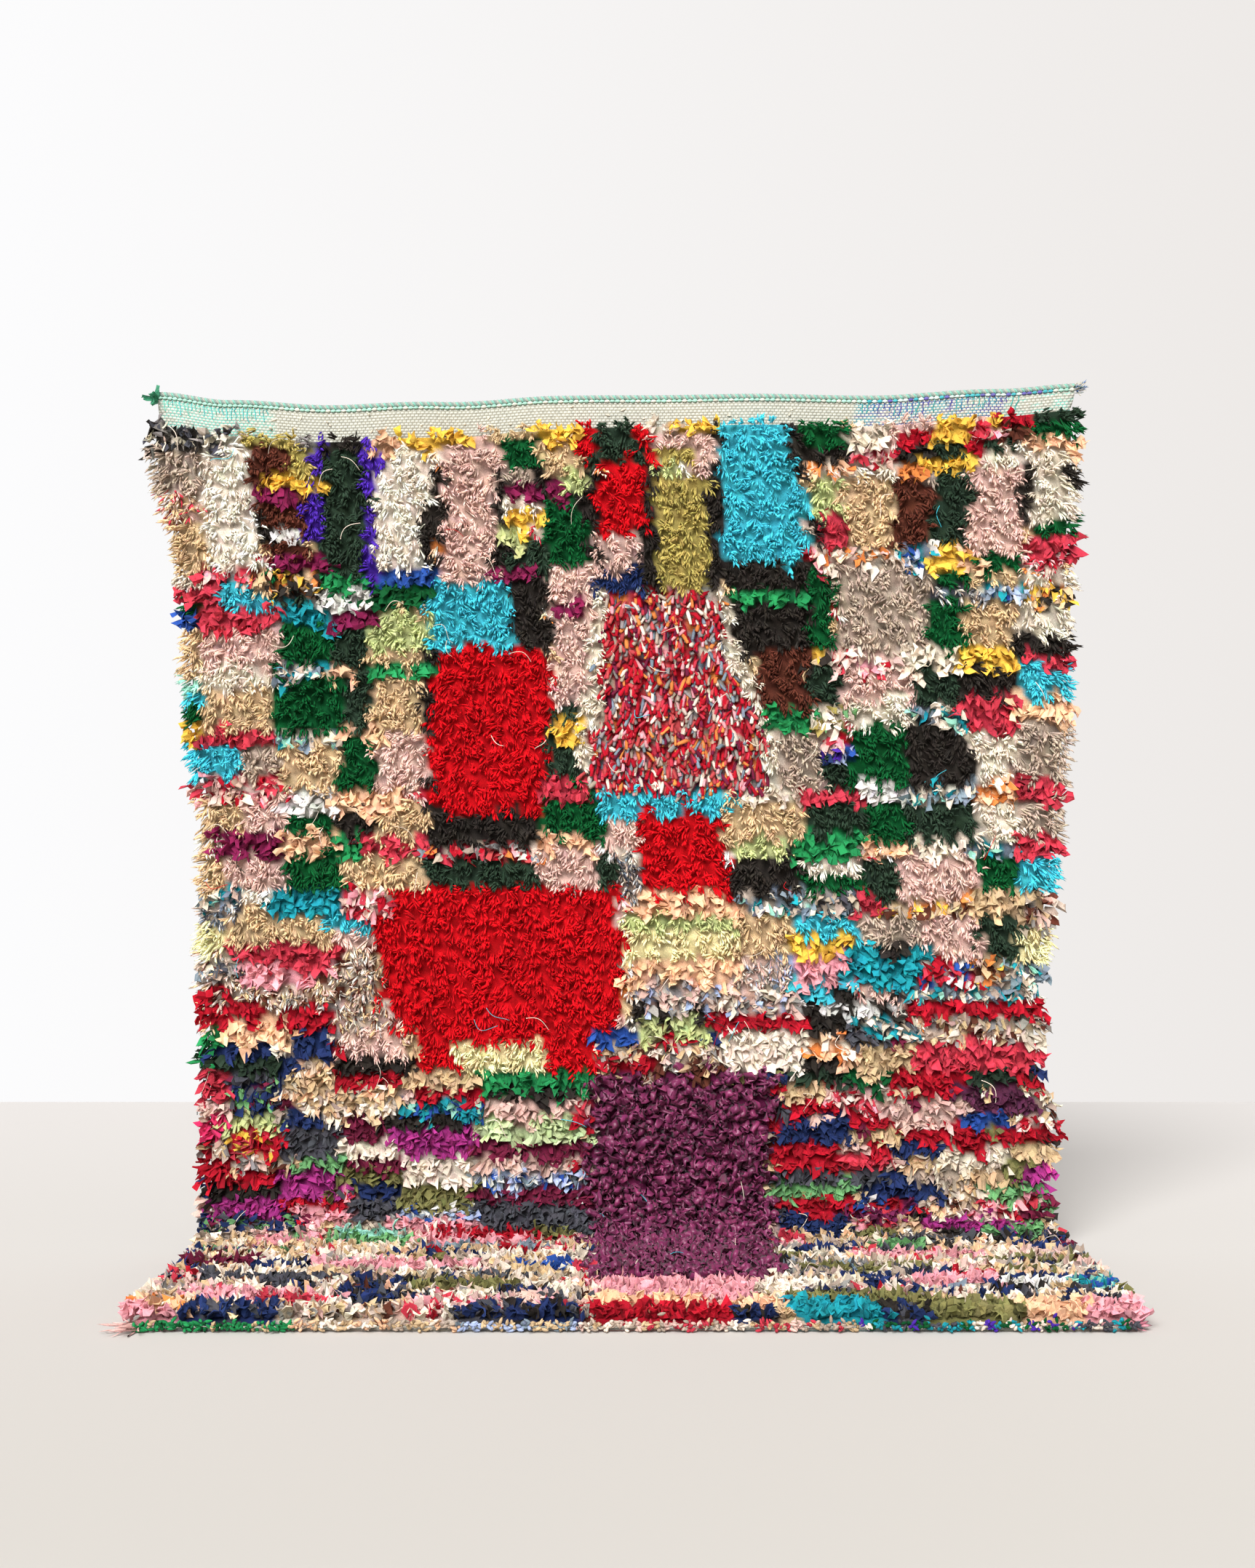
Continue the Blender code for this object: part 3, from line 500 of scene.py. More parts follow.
@dataclass(frozen=True)
class RugForm:
    """The shape in which the rug hangs and lies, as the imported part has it."""

    floor_drop: float = 1.290
    bend_radius: float = 0.090
    apron_reach: float = 0.520
    weave: float = 0.003
    pile_top: float = 0.038
    top_fade: float = 0.55
    folds: tuple[Fold, ...] = (Fold(0.009, 0.62, 0.0, 0.5), Fold(0.004, 0.27, math.pi, -1.3))
    top_edge: tuple[TopEdge, ...] = (
        TopEdge(0.00, 0.007, 0.043), TopEdge(0.08, -0.008, 0.045), TopEdge(0.19, -0.016, 0.046),
        TopEdge(0.31, -0.010, 0.044), TopEdge(0.43, 0.000, 0.040), TopEdge(0.60, 0.000, 0.036),
        TopEdge(0.78, 0.001, 0.036), TopEdge(0.92, 0.011, 0.032), TopEdge(1.00, 0.017, 0.030),
    )

    @property
    def hang(self) -> float:
        """How much of the cloth hangs straight."""
        return self.floor_drop - self.weave / 2 - self.bend_radius

    @property
    def bend(self) -> float:
        """How much of the cloth is in the bend at the floor."""
        return self.bend_radius * math.pi / 2

    @property
    def length(self) -> float:
        """The whole length of the cloth."""
        return self.hang + self.bend + self.apron_reach - self.bend_radius

    @property
    def sides(self) -> tuple[Side, ...]:
        """The side edges, from the top edge to the hem.

        Returns:
            One row a height.
        """
        return (
            Side(0.00, -0.720, 0.682), Side(0.06, -0.714, 0.668), Side(0.24, -0.674, 0.661),
            Side(0.33, -0.660, 0.658), Side(0.47, -0.656, 0.656), Side(0.65, -0.631, 0.641),
            Side(0.79, -0.635, 0.627), Side(0.90, -0.633, 0.612), Side(1.01, -0.628, 0.613),
            Side(1.11, -0.629, 0.637), Side(1.18, -0.628, 0.621), Side(1.25, -0.626, 0.625),
            Side(1.36, -0.622, 0.647), Side(self.length, -0.636, 0.657),
        )

    def side_edges(self, along: Array) -> tuple[Array, Array]:
        """Where the left and right edges are at distances from the top edge."""
        left, right = (read_column(self.sides, "along", side, along) for side in ("left", "right"))
        return left, right

    def rise(self, across: Array, along: Array) -> Array:
        """How far the dips and rises of the top edge still lift the cloth."""
        return read_column(self.top_edge, "across", "rise", across) * (1.0 - ease(along / self.top_fade))

    def row_along(self, row: Array, across: Array) -> Array:
        """A row's distance from the top edge; the upper rows follow the slope of the woven band."""
        band = read_column(self.top_edge, "across", "band", across)
        return row + (band - self.pile_top) * (1.0 - ease((row - self.pile_top) / self.top_fade))

    def turn(self, along: Array) -> Array:
        """How far the cloth has turned from hanging, 0, to lying, a right angle."""
        return np.clip((along - self.hang) / self.bend_radius, 0.0, math.pi / 2)

    def facing(self, along: Array) -> Array:
        """The way the pile faces."""
        turn = self.turn(along)
        return np.stack([np.zeros_like(turn), -np.cos(turn), np.sin(turn)], -1)

    def onward(self, along: Array) -> Array:
        """The way from the top edge towards the hem, along the cloth."""
        turn = self.turn(along)
        return np.stack([np.zeros_like(turn), -np.sin(turn), -np.cos(turn)], -1)

    def fold_depth(self, x: Array, along: Array) -> Array:
        """How far the soft folds stand forward."""
        depth = sum(f.depth * np.sin(2 * math.pi * x / f.width + f.start + f.lean * along) for f in self.folds)
        return depth * (1.0 - ease(along / self.hang))

    def point(self, across: Array, along: Array, high: Array | float = 0.0) -> Array:
        """Points at a height above the ground's middle.

        Args:
            across: Shares of the width, from the left edge.
            along: Distances from the top edge.
            high: Heights towards the pile.

        Returns:
            The points.
        """
        left, right = self.side_edges(along)
        x = left + (right - left) * across
        turn = self.turn(along)
        forward = self.bend_radius * (1.0 - np.cos(turn)) + np.maximum(along - self.hang - self.bend, 0.0)
        height = -np.minimum(along, self.hang) - self.bend_radius * np.sin(turn)
        ground = np.stack([x, -forward - self.fold_depth(x, along), height + self.rise(across, along)], -1)
        return ground + self.facing(along) * np.asarray(high)[..., None]


@dataclass(frozen=True)
class Chart:
    """Which yarn is knotted where, with all measures in centimetres.

    The pile of a knot hangs down, so it shows `knot_drop` below its row. A stripe is at least one row
    high, edges wander as knots do, and blocks of wool reach `seam` into what is beside them.
    """

    knot_drop: float = 0.35
    row_height: float = 2.15
    seam: float = 0.25
    edge_wander: float = 0.45
    border_end: float = 56.0
    foot_starts: float = 96.0
    floor_starts: float = 138.0
    far_left: float = -80.0
    run_width: float = 7.0
    runs: int = 64
    run_shift: float = 6.0

    def paint(self, x: Array, along: Array, seen: Array, rng: Rng) -> tuple[Array, Array]:
        """The yarn and the cut at places on the rug.

        Args:
            x: Places across, from the middle.
            along: Distances from the top edge.
            seen: Heights below the origin at which the places show.
            rng: What the uneven edges are drawn from.

        Returns:
            The yarns' places in `YARNS` and the cuts' places in `CUTS`, one for each place.
        """
        yarn, cut = self.fill(x, along, rng)
        wander_x = x + rng.uniform(-self.edge_wander, self.edge_wander, x.shape)
        for blocks, kind in CHARTED:
            for block in blocks:
                self.lay(block, kind, wander_x, seen, yarn, cut)
        self.lay_trapezoid(wander_x, seen, yarn, cut)
        self.lay(CURL_BLOCK, Cut.CURL, wander_x, seen, yarn, cut)
        return yarn, cut

    def lay(self, block: Block, kind: Cut, x: Array, seen: Array, yarn: Array, cut: Array) -> None:
        """Lay one block over what is there.

        Args:
            block: The block.
            kind: How its yarn is cut.
            x: Places across.
            seen: Heights at which the places show.
            yarn: The places' yarns, changed here.
            cut: The places' cuts, changed here.
        """
        middle = (block.top + block.bottom) / 2
        seam = self.seam if kind is Cut.WOOL else 0.0
        half = max(block.bottom - block.top, self.row_height) / 2 + seam
        inside = (x >= block.left) & (x < block.right) & (abs(seen - middle) < half)
        yarn[inside], cut[inside] = YARNS.index(block.yarn), CUTS.index(kind)

    def lay_trapezoid(self, x: Array, seen: Array, yarn: Array, cut: Array) -> None:
        """Lay the trapezoid of cut knitting yarn and the pale wool beside it.

        Args:
            x: Places across.
            seen: Heights at which the places show.
            yarn: The places' yarns, changed here.
            cut: The places' cuts, changed here.
        """
        heights, lefts, rights = np.array(CONFETTI_EDGES).T
        left, right = np.interp(seen, heights, lefts), np.interp(seen, heights, rights)
        tall = (seen > heights[0]) & (seen < heights[-1])
        border = tall & (x > left - CONFETTI_BORDER) & (x < right + CONFETTI_BORDER)
        yarn[border & (seen < self.border_end)] = YARNS.index("ivory")
        cut[border] = CUTS.index(Cut.WOOL)
        inside = tall & (x > left) & (x < right)
        yarn[inside], cut[inside] = YARNS.index("confetti"), CUTS.index(Cut.STUB)

    def fill(self, x: Array, along: Array, rng: Rng) -> tuple[Array, Array]:
        """The short runs between the blocks: wool above, strips of rag below.

        Args:
            x: Places across, from the middle.
            along: Distances from the top edge.
            rng: What the runs are drawn from.

        Returns:
            The yarns' places in `YARNS` and the cuts' places in `CUTS`, one for each place.
        """
        yarn = np.zeros(x.shape, int)
        cut = np.zeros(x.shape, int)
        row = np.round(along / self.row_height).astype(int)
        rows = row.max() + 1
        stretches = (
            (HEAD_FILL, Cut.WOOL, -np.inf, self.foot_starts),
            (FOOT_FILL, Cut.STRIP, self.foot_starts, self.floor_starts),
            (FLOOR_FILL, Cut.STRIP, self.floor_starts, np.inf),
        )
        for names, kind, start, end in stretches:
            here = (along >= start) & (along < end)
            drawn = rng.integers(0, len(names), (rows, self.runs))
            shift = rng.uniform(0, self.run_shift, rows)
            run = ((x - self.far_left) / self.run_width + shift[row]).astype(int)
            chosen = np.array([YARNS.index(name) for name in names])[drawn[row, run]]
            yarn[here], cut[here] = chosen[here], CUTS.index(kind)
        return yarn, cut


def dye_of(yarn: Array, rng: Rng) -> Array:
    """A linear colour for each strand; a mixed yarn gives each strand one of its dyes.

    Args:
        yarn: The yarns' places in `YARNS`.
        rng: What the strand's dye and its slight difference are drawn from.

    Returns:
        One colour a strand.
    """
    colours = np.array([linear(code) for code in DYES.values()])
    names = list(DYES)
    widest = max(len(mix) for mix in MIXES.values())
    choice = np.zeros((len(YARNS), widest), int)
    for i, name in enumerate(YARNS):
        mix = MIXES.get(name, (name,))
        choice[i] = [names.index(mix[k % len(mix)]) for k in range(widest)]
    picked = colours[choice[yarn, rng.integers(0, widest, yarn.shape)]]
    value = rng.normal(1.0, DYE_SPREAD, (*yarn.shape, 1))
    tint = rng.normal(1.0, TINT_SPREAD, (*yarn.shape, 3))
    return np.clip(picked * np.clip(value, 0.7, 1.3) * tint, DARKEST, LIGHTEST)


def mesh_object(
    name: str, verts: Array, faces: list[Array], maps: dict[str, list[Array]], dye: Array | None, smooth: bool
) -> Piece:
    """A mesh piece from arrays, with its UV maps and the colour of each vertex.

    Args:
        name: The piece's name.
        verts: The vertices.
        faces: Arrays of faces, each with one number of corners.
        maps: For each UV map, its corners in the faces' order.
        dye: One linear colour a vertex, or None.
        smooth: Whether the faces are shaded smooth.

    Returns:
        The new piece.
    """
    mesh = bpy.data.meshes.new(name)
    corners = np.concatenate([f.ravel() for f in faces])
    totals = np.concatenate([np.full(len(f), f.shape[1]) for f in faces])
    starts = np.concatenate([[0], np.cumsum(totals)[:-1]])
    mesh.vertices.add(len(verts))
    mesh.vertices.foreach_set("co", verts.astype(np.float32).ravel())
    mesh.loops.add(len(corners))
    mesh.loops.foreach_set("vertex_index", corners.astype(np.int32))
    mesh.polygons.add(len(totals))
    mesh.polygons.foreach_set("loop_start", starts.astype(np.int32))
    mesh.polygons.foreach_set("loop_total", totals.astype(np.int32))
    mesh.polygons.foreach_set("use_smooth", np.full(len(totals), smooth))
    mesh.update(calc_edges=True)
    for map_name, parts in maps.items():
        places = np.concatenate([part.reshape(-1, 2) for part in parts])
        mesh.uv_layers.new(name=map_name).data.foreach_set("uv", places.astype(np.float32).ravel())
    if dye is not None:
        colours = np.column_stack([dye, np.ones(len(dye))]).astype(np.float32)
        mesh.color_attributes.new(DYE_AND_SHADE, "FLOAT_COLOR", "POINT").data.foreach_set("color", colours.ravel())
    return to_scene(name, mesh)


def to_scene(name: str, data: bpy.types.ID) -> Piece:
    """Put a mesh, a lamp or a camera into the scene.

    Args:
        name: The object's name.
        data: What it shows.

    Returns:
        The new object.
    """
    made = bpy.data.objects.new(name, data)
    bpy.context.scene.collection.objects.link(made)
    return made


def finish_piece(piece: Piece, surface: Material, replaces: Sequence[str] = ()) -> Piece:
    """Dress a piece, let it ride on the rug's body and report it.

    Args:
        piece: The piece.
        surface: Its material.
        replaces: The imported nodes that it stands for.

    Returns:
        The same piece.
    """
    piece.data.materials.append(surface)
    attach(piece, BODY)
    if replaces:
        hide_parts(*replaces)
    LOG.info("%s: %d faces", piece.name, len(piece.data.polygons))
    return piece


def bake_cells(count: int) -> tuple[Array, float]:
    """Cells of a square bake map, one for each of many islands.

    Args:
        count: How many islands there are.

    Returns:
        Each cell's low corner, and the side of a cell.
    """
    columns = math.ceil(math.sqrt(count))
    place = np.arange(count)
    return np.stack([place % columns, place // columns], -1) / columns, 1.0 / columns


@dataclass
class StrandMaker:
    """Makes many strands of one section at once, each with a bake island of its own.

    A section of two points makes flat fibres, which end in a point; a wider one makes closed bent tubes.
    Of a strand's cell in the bake map, `side_share` goes to its sides and the rest to its cut end.
    """

    section: tuple[Span, ...]
    rings: tuple[Span, ...]
    pointed: bool
    root_crumple: float = 0.35
    width_range: Span = (0.8, 1.2)
    side_share: float = 0.86
    cap_low: float = 0.89
    cap_width: float = 0.3
    shade_reach: float = 0.7

    def strand_points(
        self,
        root: Array,
        first: Array,
        last: Array,
        length: Array,
        width: Array,
        crumple: Array,
        twist: Array,
        slant: Array,
        rng: Rng,
    ) -> Array:
        """The vertices of each strand.

        Args:
            root: Where each strand starts.
            first: The way in which it sets out.
            last: The way in which it ends.
            length: Its length.
            width: Half its width.
            crumple: How far its rings wander.
            twist: How far its section turns from root to tip.
            slant: How far its cut end slants, as a share of its width.
            rng: What the wandering is drawn from.

        Returns:
            An array of strands by vertices by 3.
        """
        count = len(root)
        middle = root + first * (length * 0.5)[:, None]
        tip = middle + last * (length * 0.5)[:, None]
        side = unit(np.cross(tip - root, rng.normal(size=(count, 3))))
        rings = []
        for t, scale in self.rings:
            loose = self.root_crumple + (1 - self.root_crumple) * t
            centre = root * (1 - t) ** 2 + middle * (2 * t * (1 - t)) + tip * t * t
            centre = centre + rng.normal(size=(count, 3)) * (crumple * loose * 0.5)[:, None]
            along = unit((middle - root) * (1 - t) + (tip - middle) * t)
            across = unit(side - along * np.sum(side * along, -1, keepdims=True))
            up = np.cross(along, across)
            cos, sin = np.cos(twist * t)[:, None], np.sin(twist * t)[:, None]
            across, up = across * cos + up * sin, up * cos - across * sin
            half = (width * scale * rng.uniform(*self.width_range, count))[:, None]
            cut = along * half * (slant * (t == 1.0))[:, None]
            rings += [centre + (across * u + up * v) * half + cut * u for u, v in self.section]
        if self.pointed:
            rings = [*rings, tip]
        return np.stack(rings, 1)

    def faces(self) -> tuple[Array, Array, Array, Array]:
        """One strand's faces and their places in its bake cell.

        Returns:
            The quads, their places, the triangles and their places.
        """
        points, count = len(self.section), len(self.rings)
        sides = points if points > 2 else 1
        top = (count - 1) / count if self.pointed else self.side_share
        level = np.linspace(0, top, count)
        quads, quad_uv, tris, tri_uv = [], [], [], []
        for k in range(count - 1):
            for m in range(sides):
                n, low, high = (m + 1) % points, k * points, (k + 1) * points
                quads.append((low + m, low + n, high + n, high + m))
                u0, u1 = m / sides, (m + 1) / sides
                quad_uv.append(((u0, level[k]), (u1, level[k]), (u1, level[k + 1]), (u0, level[k + 1])))
        last = (count - 1) * points
        for m in range(sides if self.pointed else 0):
            u0, u1 = m / sides, (m + 1) / sides
            tris.append((last + m, last + (m + 1) % points, last + points))
            tri_uv.append(((u0, level[-1]), (u1, level[-1]), ((u0 + u1) / 2, 1.0)))
        if not self.pointed:
            wide, low = self.cap_width, self.cap_low
            quads.append(tuple(last + m for m in range(4)))
            quad_uv.append(((0.0, low), (wide, low), (wide, 1.0), (0.0, 1.0)))
        return np.array(quads), np.array(quad_uv), np.array(tris), np.array(tri_uv)

    def triangles(self) -> int:
        """How many triangles one strand has."""
        quads, _, tris, _ = self.faces()
        return 2 * len(quads) + len(tris)

    def shade(self, root_shade: float) -> Array:
        """How dark each vertex of a strand is: the root lies in the shade of its neighbours.

        Args:
            root_shade: The root's lightness as a share of the tip's.

        Returns:
            One share a vertex.
        """
        levels = [root_shade + (1 - root_shade) * ease(np.array(t / self.shade_reach)) for t, _ in self.rings]
        shades = [float(level) for level in levels for _ in self.section]
        return np.array([*shades, 1.0] if self.pointed else shades)

    def build(self, name: str, points: Array, dye: Array, root_shade: float, smooth: bool) -> Piece:
        """One mesh piece from the strands' points.

        Args:
            name: The piece's name.
            points: Strands by vertices by 3.
            dye: One colour a strand.
            root_shade: The root's lightness as a share of the tip's.
            smooth: Whether the strands are shaded smooth.

        Returns:
            The new piece.
        """
        count, per = points.shape[:2]
        quads, quad_uv, tris, tri_uv = self.faces()
        start = (np.arange(count) * per)[:, None, None]
        corner, cell = bake_cells(count)
        faces, uvs = [], []
        for shape, places in ((quads, quad_uv), (tris, tri_uv)):
            if len(shape):
                faces.append((shape[None] + start).reshape(-1, shape.shape[1]))
                uvs.append(corner[:, None, None, :] + (places[None] * CELL_FILL + CELL_MARGIN) * cell)
        colours = (dye[:, None, :] * self.shade(root_shade)[None, :, None]).reshape(-1, 3)
        return mesh_object(name, points.reshape(-1, 3), faces, {BAKE_MAP: uvs}, colours, smooth)


def tube(route: Array, radius: Array | float, sides: int) -> tuple[Array, Array, Array]:
    """A tube of rings along a route.

    Args:
        route: The middle of each ring.
        radius: Each ring's radius.
        sides: How many sides the tube has.

    Returns:
        The vertices, the faces and the faces' places in a square bake cell.
    """
    count = len(route)
    ahead = unit(np.gradient(route, axis=0))
    side = unit(np.cross(ahead, [0.03, 0.11, 1.0]) + 1e-6)
    up = np.cross(ahead, side)
    angle = (np.arange(sides) / sides * 2 * math.pi)[:, None]
    ring = side[:, None] * np.cos(angle) + up[:, None] * np.sin(angle)
    verts = route[:, None] + ring * np.broadcast_to(radius, (count,))[:, None, None]
    k, m = np.meshgrid(np.arange(count - 1), np.arange(sides), indexing="ij")
    low, high, n = k * sides, (k + 1) * sides, (m + 1) % sides
    faces = np.stack([low + m, low + n, high + n, high + m], -1).reshape(-1, 4)
    u0, u1, v0, v1 = m / sides, (m + 1) / sides, k / (count - 1), (k + 1) / (count - 1)
    places = np.stack([u0, v0, u1, v0, u1, v1, u0, v1], -1).reshape(-1, 4, 2)
    return verts.reshape(-1, 3), faces, places


@dataclass
class Bundle:
    """Several tubes that become one piece, each with a bake cell and a colour of its own."""

    tubes: list[tuple[Array, Array, Array]] = field(default_factory=list)
    dyes: list[Array] = field(default_factory=list)

    def add(self, route: Array, radius: Array | float, sides: int, colour: str, shade: float = 1.0) -> None:
        """Add one tube.

        Args:
            route: The middle of each ring.
            radius: Each ring's radius.
            sides: How many sides the tube has.
            colour: Its colour as #RRGGBB.
            shade: By what the colour is multiplied.
        """
        self.tubes.append(tube(route, radius, sides))
        self.dyes.append(np.array(linear(colour)) * shade)

    def build(self, name: str) -> Piece:
        """One mesh piece from the tubes.

        Args:
            name: The piece's name.

        Returns:
            The new piece.
        """
        corner, cell = bake_cells(len(self.tubes))
        verts, shapes, places = zip(*self.tubes)
        starts = np.cumsum([0, *(len(points) for points in verts[:-1])])
        faces = np.concatenate([shape + start for shape, start in zip(shapes, starts)])
        uvs = np.concatenate([low + (place * CELL_FILL + CELL_MARGIN) * cell for low, place in zip(corner, places)])
        colours = np.concatenate([np.broadcast_to(dye, points.shape) for dye, points in zip(self.dyes, verts)])
        return mesh_object(name, np.concatenate(verts), [faces], {BAKE_MAP: [uvs]}, colours, True)


class Stand(NamedTuple):
    """How each knot stands, from 0 to 1: beside an edge, lying, in the first row, in the front rows."""

    rim: Array
    lying: Array
    first_row: Array
    front: Array


@dataclass
class Pile:
    """The knotted pile: the matted body under it and the tufts of every cut."""

    form: RugForm
    chart: Chart
    row_step: float = 0.0215
    knot_step: float = 0.0125
    first_row: float = 0.041
    end_margin: float = 0.014
    edge_margin: float = -0.006
    root_height: float = 0.010
    wander: float = 0.0036
    rim_width: float = 0.016
    floor_gap: float = 0.001
    tuft_size: Span = (0.78, 1.12)
    rim_lean: Span = (0.5, 1.15)
    first_row_reach: float = 0.006
    first_row_fade: float = 0.012
    front_reach: float = 0.055
    front_fade: float = 0.020
    front_droop: Span = (0.1, 1.2)
    tone_range: Span = (0.7, 1.25)
    body_low: float = 0.008
    body_lump: float = 0.009
    lump_range: Span = (0.5, 1.3)
    body_fuzz: float = 0.0007
    hollow_shade: float = 0.40
    lump_shade: float = 0.50
    lump_size: float = 0.0088
    body_margin: float = -0.006
    body_columns: int = 146
    body_rows: int = 222
    cloth_width: float = 1.30
    stray_threads: int = 110
    thread_points: int = 9
    thread_height: float = 0.024
    thread_reach: Span = (0.018, 0.045)
    thread_radius: Span = (0.0003, 0.0006)
    thread_dyes: tuple[str, ...] = ("ivory", "cream", "ivory", "dark_green", "turquoise", "red", "cream", "black")
    edge_threads: int = 14
    edge_thread_span: Span = (0.97, 1.08)
    edge_thread_reach: Span = (0.018, 0.040)
    edge_thread_radius: float = 0.0007
    pieces: list[Piece] = field(default_factory=list)

    def knots(self, rng: Rng) -> dict[str, Array]:
        """Every knot's place, yarn and cut; the side edges have a knot more between two rows.

        Args:
            rng: What the uneven places are drawn from.

        Returns:
            Arrays by name, one entry a knot.
        """
        rows = np.arange(self.first_row, self.form.length - self.end_margin, self.row_step)
        edges = np.array([self.edge_margin, 1 - self.edge_margin])
        across, along = [], []
        for row in rows:
            left, right = (float(edge) for edge in self.form.side_edges(np.array(row)))
            count = int((right - left) / self.knot_step)
            place = np.arange(count) / (count - 1)
            # The whole row shifts by up to half a knot, but for the knots at its ends
            shift = rng.uniform(-0.5, 0.5) * np.minimum(np.sin(place * math.pi) * 4, 1) / count
            places = place + shift + rng.normal(0, self.wander, count) / (right - left)
            places = self.edge_margin + np.clip(places, 0, 1) * (1 - 2 * self.edge_margin)
            uneven = self.form.row_along(row, places) + rng.normal(0, self.wander, count)
            across += [places, edges]
            along += [uneven, self.form.row_along(row + self.row_step / 2, edges)]
        across, along = np.concatenate(across), np.concatenate(along)
        along = np.clip(along, self.form.pile_top, self.form.length - self.end_margin + 0.002)
        yarn, cut = self.look_up(across, along, rng)
        return {"across": across, "along": along, "yarn": yarn, "cut": cut}

    def look_up(self, across: Array, along: Array, rng: Rng) -> tuple[Array, Array]:
        """The yarn and cut at places on the rug.

        Args:
            across: Shares of the width.
            along: Distances from the top edge.
            rng: What the uneven edges of the blocks are drawn from.

        Returns:
            The yarns' places in `YARNS` and the cuts' places in `CUTS`.
        """
        left, right = self.form.side_edges(along)
        drop = self.chart.knot_drop * (1.0 - ease((along - self.form.hang) / 0.1))
        seen = (along - self.form.rise(across, along)) / CM + drop
        return self.chart.paint((left + (right - left) * across) / CM, along / CM, seen, rng)

    def build(self, surfaces: dict[Cut, Material]) -> None:
        """Make the body, the tufts and the loose threads.

        Args:
            surfaces: The material of each cut.
        """
        rng = np.random.default_rng(SEED)
        knots = self.knots(rng)
        LOG.info("rug: %d knots", len(knots["yarn"]))
        for cut in Cut:
            chosen = {name: values[knots["cut"] == CUTS.index(cut)] for name, values in knots.items()}
            self.tufts(cut, chosen, surfaces[cut], rng)
        self.body(knots, surfaces[Cut.WOOL], rng)
        self.threads(knots, surfaces[Cut.STUB])
        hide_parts("shag_pile")

    def tufts(self, cut: Cut, knots: dict[str, Array], surface: Material, rng: Rng) -> None:
        """The tufts of one cut, in as many pieces as the triangles ask for.

        Args:
            cut: The cut.
            knots: Its knots.
            surface: Its material.
            rng: What the strands' differences are drawn from.
        """
        tuft = TUFTS[cut]
        maker = StrandMaker(tuft.section, tuft.rings, tuft.pointed)
        points, dye = self.strands(tuft, maker, knots, rng)
        total = len(points) * maker.triangles()
        parts = max(1, math.ceil(total / TRIANGLES_A_PIECE))
        flat = cut in (Cut.RAG, Cut.STRIP)
        for i, share in enumerate(np.array_split(np.arange(len(points)), parts)):
            name = f"pile_{cut.value}_{i + 1}"
            piece = maker.build(name, points[share], dye[share], tuft.root_shade, not flat)
            self.pieces.append(finish_piece(piece, surface))
        LOG.info("%s: %d knots, %d triangles", cut.value, len(knots["yarn"]), total)

    def stand(self, across: Array, along: Array) -> Stand:
        """How the knots at some places stand.

        Args:
            across: Shares of the width.
            along: Distances from the top edge.

        Returns:
            What makes each knot's tuft differ; the rim is -1 at the left edge and 1 at the right one.
        """
        left, right = self.form.side_edges(along)
        from_left, from_right = across * (right - left), (1 - across) * (right - left)
        return Stand(
            rim=ease(1 - from_right / self.rim_width) - ease(1 - from_left / self.rim_width),
            lying=ease((along - self.form.hang) / self.form.bend),
            first_row=1 - ease((along - self.form.pile_top - self.first_row_reach) / self.first_row_fade),
            front=ease((along - self.form.length + self.front_reach) / self.front_fade),
        )

    def strands(self, tuft: Tuft, maker: StrandMaker, knots: dict[str, Array], rng: Rng) -> tuple[Array, Array]:
        """Every strand of some knots.

        Args:
            tuft: How the knots are cut.
            maker: What makes their strands.
            knots: The knots.
            rng: What the strands' differences are drawn from.

        Returns:
            The strands' vertices and their colours.
        """
        across, along = knots["across"], knots["along"]
        count = len(along)
        total = count * tuft.strands
        stand = self.stand(across, along)

        def each(values: Array) -> Array:
            """A knot's value for each of its strands."""
            return np.repeat(values, tuft.strands, 0)

        leans = rng.normal(0, tuft.lean, (count * 2, 2))
        size = rng.uniform(*self.tuft_size, count) * (1 - 0.25 * stand.lying) * (1 - 0.25 * stand.first_row)
        size = size * (1 + 0.10 * abs(stand.rim) * (1 - stand.lying)) * (1 + 0.15 * stand.front)
        # The strands of a knot make two locks, which lean each their own way
        lock = np.tile(np.arange(tuft.strands) % 2, count)
        lean = leans[each(np.arange(count)) * 2 + lock]
        spot = rng.normal(0, tuft.spread * MM / 2, (total, 2))
        spot += np.outer(lock - 0.5, np.array(tuft.apart) * MM)
        jitter = rng.normal(0, 1.0, (total, 4)) * [0.55, 0.5, 0.3, 0.4] * tuft.scatter
        out, onward = each(self.form.facing(along)), each(self.form.onward(along))
        base = each(self.form.point(across, along, self.root_height)) + RIGHT * spot[:, :1] + onward * spot[:, 1:]
        sideways = each(stand.rim * (0.72 - 0.10 * stand.lying)) * rng.uniform(*self.rim_lean, total)
        sideways = sideways + lean[:, 0] + jitter[:, 0]
        droop = each(tuft.fall * (1 - 0.85 * stand.lying) - 0.5 * stand.first_row)
        droop = droop + each(stand.front * rng.uniform(*self.front_droop, count))
        ahead = lean[:, 1] + jitter[:, 1]
        rise = 0.30 + 0.15 * each(stand.lying) + jitter[:, 2]
        first = out * tuft.out + RIGHT * (sideways * 0.6)[:, None] + onward * (droop * 0.25 + ahead * 0.6)[:, None]
        last = out * rise[:, None] + RIGHT * (sideways + jitter[:, 3])[:, None] + onward * (droop + ahead)[:, None]
        length = rng.uniform(*tuft.length, total) * MM * each(size)
        width = rng.uniform(*tuft.half_width, total) * MM
        crumple = np.full(total, tuft.crumple * MM)
        twist = rng.uniform(-tuft.twist, tuft.twist, total)
        slant = rng.uniform(-tuft.slant, tuft.slant, total)
        points = maker.strand_points(base, unit(first), unit(last), length, width, crumple, twist, slant, rng)
        points[..., 2] = np.maximum(points[..., 2], self.floor_gap - self.form.floor_drop)
        tone = tuft.tone * each(rng.normal(1.0, 0.12, count).clip(*self.tone_range))
